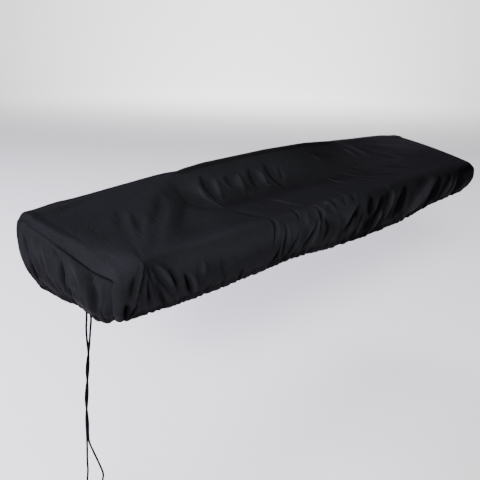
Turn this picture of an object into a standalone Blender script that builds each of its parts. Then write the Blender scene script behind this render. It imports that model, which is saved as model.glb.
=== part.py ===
"""Piano cover: a fitted dust cover of thin black cloth, in the shape in which it hangs in use.

One main panel wraps over the front, top and back and has a slit along the back of its top, an
end panel closes each end, and two free ends of the hem's drawcord hang below the left end.

Metres, +Z up, +X along the cover to the right as seen from its front, +Y to its back. The origin
lies under the middle of the top, where the top is held up. Heights in the tables count up from
the level of the hem, and SEAT_HEIGHT turns them into heights in this frame.
"""

import math

import bmesh
import bpy
import numpy as np
from mathutils import Vector

# Driving dimensions
SEAT_HEIGHT = 0.0985  # from the hem's level to the underside of the top's middle
CLOTH = 0.0016  # thickness
SEAM_GAP = 0.0006  # between two pieces that are sewn together

HALF_LENGTH = 0.670  # from the middle to an end face, just under its top ridge
HALF_DEPTH = 0.148  # from the middle to the front face, just under its top edge
BELLY_HEIGHT = 0.055  # below this the skirts draw in towards the hem
FRONT_DRAW_IN = 0.021  # how far the drawcord pulls the front hem in
BACK_DRAW_IN = 0.017
BACK_ROUNDING = 0.009  # of the back edge, and what its ends add to it
END_ROUNDING = 0.020
ROLL_RADIUS = 0.012  # of the main panel where it turns over an end
ROLL_MARGIN = 0.004  # from the end of that turn to the seam

SLIT_LEFT = -0.286
SLIT_RIGHT = 0.290
SLIT_REACH = 0.006  # how far the cut may run past those, to the next column
SLIT_GAP = 0.014
SLIT_CORNER_GAP = 0.005
SLIT_TAPER = 0.045  # length of each end over which the slit narrows
LIP_Y = 0.118  # where the slit's front lip stands
LIP_RISE = 0.009  # the lip's turned-up hem
END_CREST = 0.022  # how much wider the strip behind the slit's line gets towards the ends
LEFT_FLARE = 0.003  # how much longer the left end reaches at its back than at its front
LEFT_LEAN = 0.85  # the sagging top's left border runs outwards by this for each metre forwards

GATHER_PITCH = 0.083  # of the larger waves above the hem
GATHER_DEPTH = 0.0028
BACK_HEM_HEIGHT = -0.012

CORD_DIAMETER = 0.003
KNOT_RADIUS = 0.0042
KNOT_LENGTH = 0.011

# Grid sizes: spans of the section from front hem to back hem, and columns along the length
FRONT_ROWS = 8
TOP_ROWS = 11
CREST_ROWS = 2
BACK_ROWS = 8
SLIT_ROW = FRONT_ROWS + TOP_ROWS
SECTION_ROWS = SLIT_ROW + 1 + CREST_ROWS + BACK_ROWS
MIDDLE_COLUMNS = 74
ROLL_COLUMNS = 3
END_STEPS = 2  # columns of an end panel for each row of the section


def table(columns, *rows):
    """Named columns of a short table, as arrays."""
    return dict(zip(columns.split(), np.array(rows, float).T))


def read(rows, column, x):
    return np.interp(x, rows["x"], rows[column])


FRONT_EDGE = table(
    "x height rounding",
    (-0.672, 0.086, 0.029),
    (-0.625, 0.103, 0.011),
    (-0.480, 0.103, 0.022),
    (-0.300, 0.103, 0.040),
    (0.000, 0.100, 0.032),
    (0.340, 0.094, 0.030),
    (0.590, 0.085, 0.028),
    (0.672, 0.085, 0.024),
)
FRONT_HEM = table(
    "x height",
    (-0.660, -0.004),
    (-0.550, -0.010),
    (-0.400, -0.011),
    (-0.200, -0.008),
    (-0.080, -0.015),
    (0.020, -0.022),
    (0.270, -0.024),
    (0.440, -0.008),
    (0.660, -0.003),
)
BACK_EDGE = table(
    "x height",
    (-0.672, 0.143),
    (-0.550, 0.145),
    (-0.300, 0.160),
    (0.000, 0.166),
    (0.300, 0.157),
    (0.672, 0.137),
)
SLIT_LIP = table(
    "x height",
    (-0.300, 0.165),
    (-0.220, 0.170),
    (0.000, 0.173),
    (0.160, 0.170),
    (0.300, 0.160),
)
BANK_FOOT = table(
    "x y",
    (-0.330, 0.060),
    (-0.280, -0.005),
    (0.000, -0.010),
    (0.220, -0.032),
    (0.380, -0.061),
)
# Half the length over a skirt, from hem (0) to top edge (1): the ends belly out above the hem
LEFT_END = table(
    "x reach",
    (0.000, 0.652),
    (0.250, 0.670),
    (0.500, 0.680),
    (0.750, 0.683),
    (0.875, 0.681),
    (1.000, 0.674),
)
RIGHT_END = table(
    "x reach",
    (0.000, 0.656),
    (0.250, 0.682),
    (0.500, 0.692),
    (0.750, 0.690),
    (0.875, 0.684),
    (1.000, 0.675),
)

# Folds: from one point to the other, depth inwards (a ridge is negative) and half width
FRONT_FOLDS = table(
    "x1 z1 x2 z2 depth width",
    (-0.622, 0.098, -0.645, 0.040, 0.005, 0.010),
    (-0.611, 0.092, -0.563, 0.017, 0.006, 0.012),
    (-0.536, 0.060, -0.522, 0.010, 0.006, 0.011),
    (-0.588, 0.050, -0.600, -0.006, -0.006, 0.012),
    (-0.383, 0.030, -0.396, -0.004, 0.005, 0.011),
    (-0.283, 0.107, -0.276, 0.055, 0.006, 0.011),
    (-0.242, 0.082, -0.248, 0.020, 0.007, 0.011),
    (-0.192, 0.060, -0.240, 0.020, 0.006, 0.011),
    (-0.122, 0.068, -0.178, 0.024, 0.007, 0.012),
    (-0.141, 0.104, -0.111, 0.058, 0.005, 0.010),
    (0.028, 0.066, 0.004, 0.010, 0.005, 0.013),
    (0.155, 0.100, 0.160, 0.030, 0.006, 0.012),
    (0.130, 0.070, 0.090, 0.002, 0.006, 0.012),
    (0.236, 0.080, 0.186, 0.010, 0.006, 0.013),
    (0.389, 0.086, 0.300, 0.004, 0.008, 0.015),
    (0.521, 0.070, 0.440, 0.006, 0.008, 0.015),
    (0.600, 0.060, 0.560, 0.006, 0.006, 0.014),
)
TOP_FOLDS = table(
    "x1 y1 x2 y2 depth width",
    (-0.500, 0.060, -0.600, -0.108, 0.003, 0.018),
    (-0.427, 0.050, -0.494, -0.050, 0.003, 0.016),
    (-0.264, 0.100, -0.271, 0.040, 0.007, 0.012),
    (-0.189, 0.104, -0.207, 0.050, 0.006, 0.011),
    (-0.108, 0.104, -0.117, 0.052, 0.007, 0.012),
    (-0.030, 0.106, -0.045, 0.044, 0.007, 0.012),
    (-0.232, 0.096, -0.240, 0.045, -0.004, 0.012),
    (-0.150, 0.100, -0.160, 0.050, -0.004, 0.012),
    (0.170, 0.095, 0.190, 0.066, 0.004, 0.014),
    (-0.160, -0.070, -0.125, -0.134, -0.004, 0.012),
    (0.317, 0.082, 0.440, 0.030, 0.004, 0.016),
    (0.440, 0.060, 0.600, 0.010, 0.004, 0.016),
)
LEFT_FOLDS = table(
    "y1 z1 y2 z2 depth width",
    (0.045, 0.094, 0.010, 0.010, 0.006, 0.010),
    (0.120, 0.080, 0.084, 0.005, 0.006, 0.011),
    (0.020, 0.090, -0.020, 0.000, -0.005, 0.011),
    (-0.040, 0.070, -0.060, -0.010, 0.007, 0.012),
    (-0.085, 0.064, -0.108, 0.000, 0.006, 0.011),
    (0.080, 0.070, 0.050, 0.000, -0.004, 0.011),
)
RIGHT_FOLDS = table(
    "y1 z1 y2 z2 depth width",
    (0.100, 0.090, 0.070, 0.000, 0.006, 0.012),
    (0.020, 0.085, 0.010, 0.000, 0.006, 0.012),
    (-0.060, 0.070, -0.070, 0.000, 0.006, 0.012),
    (0.060, 0.080, 0.045, 0.000, -0.005, 0.012),
)
BACK_FOLDS = table(
    "x1 z1 x2 z2 depth width",
    (-0.520, 0.100, -0.540, 0.000, 0.005, 0.014),
    (-0.330, 0.110, -0.300, 0.010, 0.005, 0.014),
    (-0.060, 0.120, -0.080, 0.010, 0.006, 0.015),
    (0.180, 0.115, 0.210, 0.010, 0.005, 0.014),
    (0.420, 0.100, 0.400, 0.005, 0.006, 0.014),
    (0.580, 0.090, 0.600, 0.000, 0.005, 0.013),
)
# The end panels' hems, from the front corner (0) to the back one (1)
LEFT_HEM = table(
    "x height",
    (0.00, -0.008),
    (0.12, -0.019),
    (0.24, -0.023),
    (0.40, -0.017),
    (0.50, -0.013),
    (0.60, -0.015),
    (0.75, -0.013),
    (1.00, -0.013),
)
RIGHT_HEM = table(
    "x height",
    (0.00, -0.004),
    (0.20, -0.012),
    (0.42, -0.006),
    (0.62, -0.014),
    (0.85, -0.009),
    (1.00, -0.012),
)

# The two cord ends hang side by side: their middle, half the distance between them, and how
# far the pair has turned about its middle. They lie together and twist one and a half times.
CORD_X = -0.6493
CORD_PAIR = table(
    "height middle apart turn",
    (-0.012, -0.0259, 0.0065, 0.00),
    (-0.032, -0.0252, 0.0066, 0.00),
    (-0.054, -0.0217, 0.0062, 0.00),
    (-0.076, -0.0200, 0.0042, 0.00),
    (-0.098, -0.0187, 0.0022, 0.05),
    (-0.120, -0.0156, 0.0019, 0.22),
    (-0.143, -0.0121, 0.0019, 0.42),
    (-0.167, -0.0095, 0.0019, 0.62),
    (-0.191, -0.0063, 0.0019, 0.80),
    (-0.215, -0.0031, 0.0019, 0.98),
    (-0.239, -0.0019, 0.0019, 1.16),
    (-0.261, -0.0016, 0.0019, 1.32),
    (-0.284, -0.0007, 0.0020, 1.46),
    (-0.303, -0.0011, 0.0036, 1.50),
    (-0.321, -0.0078, 0.0110, 1.50),
    (-0.339, -0.0152, 0.0200, 1.50),
    (-0.356, -0.0204, 0.0258, 1.50),
    (-0.376, -0.0186, 0.0238, 1.50),
    (-0.402, -0.0156, 0.0250, 1.50),
    (-0.425, -0.0152, 0.0256, 1.50),
    (-0.440, -0.0152, 0.0256, 1.50),
)
CORD_POINTS = 64

BLACK_CLOTH = (0.018, 0.019, 0.022)
BLACK_CORD = (0.012, 0.012, 0.013)


def ease(share):
    """A smooth step from 0 to 1."""
    share = np.clip(share, 0.0, 1.0)
    return share * share * (3.0 - 2.0 * share)


def in_slit(x):
    """1 along the slit, falling off over its last stretch at either end."""
    middle = 0.5 * (SLIT_LEFT + SLIT_RIGHT)
    half = 0.5 * (SLIT_RIGHT - SLIT_LEFT)
    return ease((half - np.abs(x - middle)) / SLIT_TAPER + 0.25)


def bank_share(x, y):
    """How far the top has left its taut slope, to sag at the front and bank up to the slit."""
    left = ease((x + LEFT_LEAN * (LIP_Y - y) - SLIT_LEFT + 0.055) / 0.075)
    right = 1.0 - ease((x - 0.22) / 0.32)
    return left * right


def top_height(x, y):
    front = read(FRONT_EDGE, "height", x)
    back = read(BACK_EDGE, "height", x)
    across = (y + HALF_DEPTH) / (2.0 * HALF_DEPTH)
    crown = 0.006 * ease((x - 0.35) / 0.3) * 4.0 * across * (1.0 - across)
    taut = front + (back - front) * across + crown
    foot = read(BANK_FOOT, "y", x)
    climb = np.clip((y - foot) / (LIP_Y - 0.004 - foot), 0.0, 1.3)
    low = np.minimum(front, 0.0995)
    sag = low + (read(SLIT_LIP, "height", x) - LIP_RISE - low) * climb**1.3
    return taut + (sag - taut) * bank_share(x, y)


def corner(before, point, after, steps=8):
    """A round corner: a quadratic curve from one leg's end to the other's."""
    share = np.linspace(0.0, 1.0, 2 * steps + 1)[:, None]
    return (1 - share) ** 2 * before + 2 * share * (1 - share) * point + share**2 * after


def spaced(path, count):
    """Points at even distances along a path of (y, height) points, with both ends."""
    steps = np.linalg.norm(np.diff(path, axis=0), axis=1)
    along = np.concatenate([[0.0], np.cumsum(steps)])
    at = np.linspace(0.0, along[-1], count + 1)
    return np.stack([np.interp(at, along, path[:, axis]) for axis in (0, 1)], axis=1)


def skirt(edge_y, draw_in, hem, top):
    """A skirt's curve from its hem up to a height, with its foot drawn in."""
    height = np.linspace(hem, top, 24)
    share = np.clip((BELLY_HEIGHT - height) / (BELLY_HEIGHT - hem), 0.0, 1.0)
    return np.stack([edge_y - np.sign(edge_y) * draw_in * share**2, height], axis=1)


def front_and_top(x):
    """The section's front skirt and top up to the slit's front lip, parted at the front edge."""
    edge = np.array([-HALF_DEPTH, read(FRONT_EDGE, "height", x)])
    reach = read(FRONT_EDGE, "rounding", x)
    face = skirt(-HALF_DEPTH - 0.001, FRONT_DRAW_IN, read(FRONT_HEM, "height", x), edge[1] - reach)
    slit = in_slit(x)
    lip_y = LIP_Y + 0.5 * (SLIT_GAP - SLIT_CORNER_GAP) * (1.0 - slit)
    lip_y -= END_CREST * ease((abs(x) - 0.50) / 0.13)
    top_y = np.linspace(-HALF_DEPTH + reach, lip_y - 0.004, 30)
    top = np.stack([top_y, top_height(x, top_y)], axis=1)
    lip = np.array([lip_y, top_height(x, lip_y - 0.003) + 0.001 + LIP_RISE * slit])
    bend = corner(face[-1], edge, top[0])
    half = len(bend) // 2
    return np.vstack([face[:-1], bend[: half + 1]]), np.vstack([bend[half:], top[1:], lip])


def crest_and_back(x, lip_y):
    """The section's strip from the slit's rear lip to the back edge, and its back skirt."""
    slit = in_slit(x)
    gap = SLIT_CORNER_GAP + (SLIT_GAP - SLIT_CORNER_GAP) * slit
    back_y = HALF_DEPTH + 0.001
    edge = np.array([back_y, read(BACK_EDGE, "height", x) - 0.004 * slit])
    rear_lip = np.array([lip_y + gap, edge[1] - 0.002 - 0.001 * slit])
    reach = BACK_ROUNDING + END_ROUNDING * ease((abs(x) - 0.58) / 0.07)
    before = edge + (rear_lip - edge) * min(1.0, reach / np.linalg.norm(rear_lip - edge))
    bend = corner(before, edge, edge - np.array([0.0, reach]))
    back = skirt(back_y, BACK_DRAW_IN, BACK_HEM_HEIGHT, bend[-1][1])[::-1]
    half = len(bend) // 2
    return np.vstack([rear_lip, bend[: half + 1]]), np.vstack([bend[half:], back[1:]])


def section(x):
    """The section at x from front hem to back hem: SECTION_ROWS + 1 points (y, height)."""
    face, top = front_and_top(x)
    crest, back = crest_and_back(x, top[-1][0])
    return np.vstack(
        [
            spaced(face, FRONT_ROWS),
            spaced(top, TOP_ROWS)[1:],
            spaced(crest, CREST_ROWS),
            spaced(back, BACK_ROWS)[1:],
        ]
    )


def end_reach(side):
    """Half the length at each row of the section, at the end on the given side."""
    rows = RIGHT_END if side > 0 else LEFT_END
    height_share = np.concatenate(
        [
            np.linspace(0.0, 1.0, FRONT_ROWS + 1)[:-1],
            np.ones(TOP_ROWS + 1 + CREST_ROWS),
            np.linspace(1.0, 0.0, BACK_ROWS + 1),
        ]
    )
    if side > 0:
        return read(rows, "reach", height_share)
    to_back = ease((np.arange(SECTION_ROWS + 1) - FRONT_ROWS) / (SLIT_ROW - FRONT_ROWS))
    return read(rows, "reach", height_share) + LEFT_FLARE * to_back


def rolled_columns(side):
    """Columns that turn over an end, from the top's end to the seam."""
    x = side * (HALF_LENGTH - ROLL_RADIUS)
    y_z = section(x)
    tangent = np.gradient(y_z, axis=0)
    tangent /= np.linalg.norm(tangent, axis=1, keepdims=True)
    inwards = np.column_stack([tangent[:, 1], -tangent[:, 0]])
    inwards[: FRONT_ROWS - 1] = (1.0, 0.0)
    inwards[2 - BACK_ROWS :] = (-1.0, 0.0)
    turn = 0.5 * math.pi * ROLL_RADIUS
    reach = end_reach(side) - ROLL_RADIUS
    columns = []
    for beyond in np.linspace(0.0, turn + ROLL_MARGIN, ROLL_COLUMNS + 1)[1:]:
        angle = min(beyond / ROLL_RADIUS, 0.5 * math.pi)
        depth = ROLL_RADIUS * (1.0 - math.cos(angle)) + max(0.0, beyond - turn)
        x_out = side * (reach + ROLL_RADIUS * math.sin(angle))
        columns.append(np.column_stack([x_out, y_z + inwards * depth]))
    return columns


def main_panel_points():
    """Grid of the main panel: columns along the length, rows from front hem to back hem."""
    end = HALF_LENGTH - ROLL_RADIUS
    columns = rolled_columns(-1)[::-1]
    for x in np.linspace(-end, end, MIDDLE_COLUMNS + 1):
        side = 1 if x > 0 else -1
        spread = ease((abs(x) - 0.45) / (end - 0.45))
        x_row = x + side * spread * (end_reach(side) - HALF_LENGTH)
        columns.append(np.column_stack([x_row, section(x)]))
    return np.array(columns + rolled_columns(1))


def facing(points):
    """Unit normals of a grid of points, out of the cover."""
    normal = np.cross(np.gradient(points, axis=0), np.gradient(points, axis=1))
    return normal / np.linalg.norm(normal, axis=2, keepdims=True)


def fold_depth(folds, along, across, first, second):
    """Depth inwards that the folds give at the places (along, across) of one face."""
    depth = np.zeros_like(along)
    names = (first + "1", second + "1", first + "2", second + "2", "depth", "width")
    for x1, y1, x2, y2, deep, width in zip(*(folds[name] for name in names)):
        run = np.array([x2 - x1, y2 - y1])
        share = ((along - x1) * run[0] + (across - y1) * run[1]) / (run @ run)
        share = np.clip(share, 0.0, 1.0)
        off = np.hypot(along - x1 - share * run[0], across - y1 - share * run[1])
        depth += deep * np.exp(-((off / width) ** 2))
    return depth


def gathers(along, pitch, depth):
    """Uneven waves of the cloth above the hem's channel."""
    wave = np.sin(2 * math.pi * (along / pitch + 0.22 * np.sin(along / (0.42 * pitch) + 1.0)))
    return depth * (0.6 + 0.4 * np.sin(along / (0.6 * pitch))) * wave


def creased_main_panel():
    points = main_panel_points()
    x, y, z = points[..., 0], points[..., 1], points[..., 2]
    front = ease((-y - 0.112) / 0.020)
    back = ease((y - 0.132) / 0.010)
    top = ease((0.146 - np.abs(y)) / 0.014)
    depth = front * fold_depth(FRONT_FOLDS, x, z, "x", "z")
    depth += back * fold_depth(BACK_FOLDS, x, z, "x", "z")
    depth += top * fold_depth(TOP_FOLDS, x, y, "x", "y")
    low = np.clip((0.06 - z) / 0.07, 0.0, 1.0) ** 1.5
    depth += low * gathers(x, GATHER_PITCH, GATHER_DEPTH)
    seam = ease((HALF_LENGTH - 0.004 - np.abs(x)) / 0.020)
    points = points - (seam * depth)[..., None] * facing(points)
    points[..., 2] += low * seam * gathers(x + 0.03, 1.7 * GATHER_PITCH, 0.6 * GATHER_DEPTH)
    return points


def end_panel_points(main, side):
    """Grid of an end panel, stretched between the main panel's edge and its own hem.

    Columns run from front to back and rows from hem to top.
    """
    edge = main[-1] if side > 0 else main[0]
    inner = main[-2] if side > 0 else main[1]
    onwards = edge - inner
    onwards /= np.linalg.norm(onwards, axis=1, keepdims=True)
    edge = edge + SEAM_GAP * onwards
    front = edge[: FRONT_ROWS + 1]
    back = edge[: -BACK_ROWS - 2 : -1]
    corners = edge[FRONT_ROWS : -BACK_ROWS]
    at = np.linspace(0.0, len(corners) - 1, END_STEPS * (len(corners) - 1) + 1)
    rows = np.arange(len(corners))
    top = np.stack([np.interp(at, rows, corners[:, axis]) for axis in range(3)], axis=1)

    run = np.concatenate([[0.0], np.cumsum(np.linalg.norm(np.diff(top, axis=0), axis=1))])
    across = run / run[-1]
    hem = front[0] + (back[0] - front[0]) * across[:, None]
    free = ease(across * 9) * ease((1 - across) * 9)
    height = read(RIGHT_HEM if side > 0 else LEFT_HEM, "height", across)
    height += 0.5 * gathers(top[:, 1], 0.036, GATHER_DEPTH)
    hem[:, 2] += (height - hem[:, 2]) * free

    s = across[:, None, None]
    t = np.linspace(0.0, 1.0, FRONT_ROWS + 1)[None, :, None]
    between = (1 - t) * hem[:, None] + t * top[:, None] + (1 - s) * front[None] + s * back[None]
    flat = (
        (1 - s) * (1 - t) * front[0]
        + (1 - s) * t * front[-1]
        + s * (1 - t) * back[0]
        + s * t * back[-1]
    )
    points = between - flat
    folds = RIGHT_FOLDS if side > 0 else LEFT_FOLDS
    inside = ease(s * 8) * ease((1 - s) * 8) * ease((1 - t) * 4)
    depth = fold_depth(folds, points[..., 1], points[..., 2], "y", "z")
    depth += (1 - t[..., 0]) ** 1.5 * gathers(points[..., 1], 0.042, GATHER_DEPTH)
    points[..., 0] -= side * inside[..., 0] * depth
    return points


def new_material(name, colour, roughness):
    material = bpy.data.materials.new(name)
    material.use_nodes = True
    shader = material.node_tree.nodes["Principled BSDF"]
    shader.inputs["Base Color"].default_value = (*colour, 1.0)
    shader.inputs["Roughness"].default_value = roughness
    shader.inputs["Metallic"].default_value = 0.0
    return material


def add_object(name, data, material, collection):
    piece = bpy.data.objects.new(name, data)
    piece.data.materials.append(material)
    collection.objects.link(piece)
    return piece


def cloth_sheet(name, points, material, collection, left_out=None, turned=False):
    """A grid laid on the points, less the faces left out, and thickened inwards."""
    columns, rows = points.shape[0] - 1, points.shape[1] - 1
    mesh = bpy.data.meshes.new(name)
    cloth = bmesh.new()
    bmesh.ops.create_grid(cloth, x_segments=columns, y_segments=rows, size=1.0)
    place = {}
    for vertex in cloth.verts:
        column = round((vertex.co.x + 1.0) / 2.0 * columns)
        row = round((vertex.co.y + 1.0) / 2.0 * rows)
        place[vertex] = (column, row)
    if left_out is not None:
        holes = [face for face in cloth.faces if left_out([place[v] for v in face.verts])]
        bmesh.ops.delete(cloth, geom=holes, context="FACES")
    for vertex in cloth.verts:
        x, y, height = points[place[vertex]]
        vertex.co = Vector((x, y, height - SEAT_HEIGHT))
    if turned:
        bmesh.ops.reverse_faces(cloth, faces=cloth.faces[:])
    cloth.to_mesh(mesh)
    cloth.free()
    mesh.shade_smooth()
    sheet = add_object(name, mesh, material, collection)
    wall = sheet.modifiers.new("Cloth", "SOLIDIFY")
    wall.thickness = CLOTH
    wall.offset = -1.0
    wall.use_quality_normals = True
    return sheet


def cord_route(side):
    """Evenly spaced points along a cord end, read from a smooth curve through its rows."""
    turn = 2.0 * math.pi * CORD_PAIR["turn"]
    rows = np.stack(
        [
            CORD_X + side * CORD_PAIR["apart"] * np.sin(turn),
            CORD_PAIR["middle"] + side * CORD_PAIR["apart"] * np.cos(turn),
            CORD_PAIR["height"] - SEAT_HEIGHT,
        ],
        axis=1,
    )
    padded = np.vstack([2 * rows[0] - rows[1], rows, 2 * rows[-1] - rows[-2]])
    fine = []
    for a, b, c, d in zip(padded, padded[1:], padded[2:], padded[3:]):
        for share in np.arange(0.0, 1.0, 0.1):
            fine.append(
                b
                + 0.5 * share * (c - a)
                + share**2 * (a - 2.5 * b + 2 * c - 0.5 * d)
                + share**3 * (1.5 * (b - c) + 0.5 * (d - a))
            )
    fine = np.array(fine + [rows[-1]])
    along = np.concatenate([[0.0], np.cumsum(np.linalg.norm(np.diff(fine, axis=0), axis=1))])
    at = np.linspace(0.0, along[-1], CORD_POINTS)
    return np.stack([np.interp(at, along, fine[:, axis]) for axis in range(3)], axis=1)


def cord_end(name, route, material, collection):
    curve = bpy.data.curves.new(name, "CURVE")
    curve.dimensions = "3D"
    curve.bevel_depth = 0.5 * CORD_DIAMETER
    curve.bevel_resolution = 2
    curve.use_fill_caps = True
    line = curve.splines.new("POLY")
    line.points.add(len(route) - 1)
    for point, place in zip(line.points, route):
        point.co = (*place, 1.0)
    return add_object(name, curve, material, collection)


def knot(name, cord_tip, material, collection):
    """A plain overhand knot's outer shape, just under the cord's tip."""
    mesh = bpy.data.meshes.new(name)
    ball = bmesh.new()
    bmesh.ops.create_uvsphere(ball, u_segments=12, v_segments=8, radius=1.0)
    for vertex in ball.verts:
        waist = 1.0 + 0.10 * math.cos(3.0 * vertex.co.z)
        vertex.co.x *= KNOT_RADIUS * waist
        vertex.co.y *= KNOT_RADIUS * waist
        vertex.co.z *= 0.5 * KNOT_LENGTH
    ball.to_mesh(mesh)
    ball.free()
    mesh.shade_smooth()
    piece = add_object(name, mesh, material, collection)
    piece.location = cord_tip - np.array([0.0, 0.0, 0.5 * KNOT_LENGTH + SEAM_GAP])
    return piece


def build():
    for old in list(bpy.data.objects):
        bpy.data.objects.remove(old, do_unlink=True)
    collection = bpy.data.collections.new("piano_cover")
    bpy.context.scene.collection.children.link(collection)
    cloth = new_material("black_cloth", BLACK_CLOTH, 0.55)
    cord = new_material("black_cord", BLACK_CORD, 0.8)

    main = creased_main_panel()

    def on_slit(places):
        if {row for _, row in places} != {SLIT_ROW, SLIT_ROW + 1}:
            return False
        x = [main[place][0] for place in places]
        return min(x) > SLIT_LEFT - SLIT_REACH and max(x) < SLIT_RIGHT + SLIT_REACH

    cloth_sheet("main_panel", main, cloth, collection, left_out=on_slit)
    cloth_sheet("end_panel_left", end_panel_points(main, -1), cloth, collection, turned=True)
    cloth_sheet("end_panel_right", end_panel_points(main, 1), cloth, collection)
    for letter, side in (("a", 1.0), ("b", -1.0)):
        route = cord_route(side)
        cord_end("drawcord_" + letter, route, cord, collection)
        knot("drawcord_knot_" + letter, route[-1], cord, collection)


build()
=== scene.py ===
import math

import bpy
import numpy as np
from mathutils import Matrix, Vector


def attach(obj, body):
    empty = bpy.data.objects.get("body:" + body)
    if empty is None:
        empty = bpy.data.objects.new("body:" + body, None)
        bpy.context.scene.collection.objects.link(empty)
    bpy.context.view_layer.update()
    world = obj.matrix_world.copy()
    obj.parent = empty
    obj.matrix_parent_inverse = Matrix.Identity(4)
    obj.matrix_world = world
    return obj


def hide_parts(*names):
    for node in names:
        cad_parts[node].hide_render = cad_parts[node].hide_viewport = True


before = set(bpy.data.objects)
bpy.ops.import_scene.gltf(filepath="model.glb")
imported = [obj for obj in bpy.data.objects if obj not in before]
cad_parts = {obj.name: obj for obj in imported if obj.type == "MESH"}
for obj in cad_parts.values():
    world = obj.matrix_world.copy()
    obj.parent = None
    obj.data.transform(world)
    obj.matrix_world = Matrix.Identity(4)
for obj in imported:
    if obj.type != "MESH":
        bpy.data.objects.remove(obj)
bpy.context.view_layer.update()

# Piano cover: one main panel with a slit, two end panels, and the drawcord's two free ends.
# Metres, +X to the right seen from the front, +Y to the back. Heights in the tables count from
# the level of the hem, and hemLevel turns them into heights in the frame. A span is a start and
# the length over which something comes in, and a length below 0 fades it out instead.

cover = {
    "hemLevel": -0.0985,
    "halfLength": 0.670,  # to an end face
    "halfDepth": 0.148,  # to the front face
    "faceOut": 0.001,  # how far the skirts stand outside it
    "bellyHeight": 0.055,  # below this the skirts draw in
    "frontDrawIn": 0.021,
    "backDrawIn": 0.017,
    "backHemHeight": -0.012,
    "backRounding": 0.009,
    "endRounding": 0.020,  # what the back edge's ends add to its rounding
    "endRoundingSpan": (0.58, 0.07),
    "crown": 0.006,  # how far the top's right bulges up
    "crownSpan": (0.35, 0.30),
    "bulgeFrom": 0.45,  # columns beyond this follow the ends' bulge
}
slit = {
    "left": -0.286,
    "right": 0.290,
    "gap": 0.014,
    "cornerGap": 0.005,
    "taper": 0.045,
    "taperStart": 0.25,  # how open it is where it ends
    "riseRun": 0.085,
    "riseStart": 0.60,
    "lipY": 0.118,
    "lipRise": 0.009,
    "lipWidth": 0.004,
    "lipFoot": 0.003,
    "lipCurl": 0.001,
    "edgeFall": 0.004,  # of the back edge behind the slit
    "rearFall": 0.002,  # of the rear lip below the back edge
    "rearDip": 0.001,
    "endCrest": 0.022,  # beyond the slit the crest's line comes forwards
    "endCrestSpan": (0.50, 0.13),
}
bank = {  # slack cloth that climbs from the top's floor to the slit
    "leftLean": 0.85,
    "leftSpan": (-0.090, 0.150),  # from the slit's left end
    "rightSpan": (0.22, 0.32),
    "floor": 0.0995,
    "most": 1.3,
    "soft": 0.08,
    "power": 1.15,
}
facet = {  # the top's left corner falls away beyond a slanting line
    "x": -0.623,
    "slant": 0.34,
    "slope": 0.36,
    "soft": 0.004,
}
corner = {  # where the front turns early, from a line that slants up to the top's fold
    "turn": -0.646,
    "slant": 0.85,
    "slantSpan": (0.072, 0.034),
    "slope": 0.40,
    "soft": 0.003,
    "backSpan": (-0.02, -0.11),
    "hemSpan": (0.004, 0.045),
    "push": (1.12, 1.0, -0.51),
}
leftRim = {  # a ridge along the left end's top edge, with a dip outside it
    "height": 0.002,
    "middle": (-0.020, 0.055),
    "aboveSpan": (0.085, 0.020),
    "crest": (-0.640, 0.020),
    "dip": (-0.665, 0.012),
    "dipShare": 0.5,
}
roll = {  # where the main panel turns over an end
    "radius": 0.012,
    "margin": 0.004,
    "rightSquare": 2.6,  # how square the turn is on the right, 2 is round
    "leftFlare": 0.003,
    "frontLevel": (0.90, -0.15),  # below these shares of a skirt the turn is level
    "backLevel": (0.80, -0.15),
}

mesh = {
    "frontRows": 34,
    "topRows": 56,
    "crestRows": 5,
    "backRows": 14,
    "middleColumns": 422,
    "rollColumns": 7,
    "endColumns": 120,
    "endRows": 58,
    "skirtSteps": 48,
    "topSteps": 80,
    "hemStep": 0.55,  # the rows' first step against an even one
    "crestPower": 1.12,
}
slitRow = mesh["frontRows"] + mesh["topRows"]
lastRow = slitRow + 1 + mesh["crestRows"] + mesh["backRows"]


def tableOf(columns, *rows):
    # what a row leaves off at its end is 0
    names = columns.split()
    filled = [[*row, *[0.0] * (len(names) - len(row))] for row in rows]
    return dict(zip(names, np.array(filled, float).T))


def readAt(rows, column, x):
    return np.interp(x, rows["x"], rows[column])


frontEdge = tableOf(
    "x height rounding",
    (-0.672, 0.103, 0.029),
    (-0.625, 0.103, 0.011),
    (-0.480, 0.103, 0.022),
    (-0.300, 0.103, 0.040),
    (0.000, 0.100, 0.032),
    (0.340, 0.094, 0.030),
    (0.590, 0.085, 0.028),
    (0.640, 0.085, 0.022),
    (0.672, 0.085, 0.014),
)
frontHem = tableOf(
    "x height",
    (-0.660, -0.004),
    (-0.550, -0.010),
    (-0.400, -0.011),
    (-0.200, -0.008),
    (-0.080, -0.015),
    (0.020, -0.022),
    (0.270, -0.024),
    (0.440, -0.008),
    (0.660, -0.003),
)
backEdge = tableOf(
    "x height",
    (-0.672, 0.143),
    (-0.550, 0.145),
    (-0.300, 0.160),
    (0.000, 0.166),
    (0.300, 0.157),
    (0.672, 0.137),
)
slitLip = tableOf(
    "x height",
    (-0.300, 0.165),
    (-0.220, 0.170),
    (0.000, 0.173),
    (0.160, 0.170),
    (0.300, 0.160),
)
bankFoot = tableOf(
    "x y",
    (-0.330, 0.060),
    (-0.280, -0.005),
    (0.000, -0.010),
    (0.220, -0.032),
    (0.380, -0.061),
)
leftEnd = tableOf(
    "x reach",
    (0.000, 0.652),
    (0.250, 0.670),
    (0.500, 0.680),
    (0.750, 0.683),
    (0.875, 0.681),
    (1.000, 0.674),
)
rightEnd = tableOf(
    "x reach",
    (0.000, 0.656),
    (0.250, 0.682),
    (0.500, 0.692),
    (0.750, 0.690),
    (0.875, 0.684),
    (1.000, 0.675),
)
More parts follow.
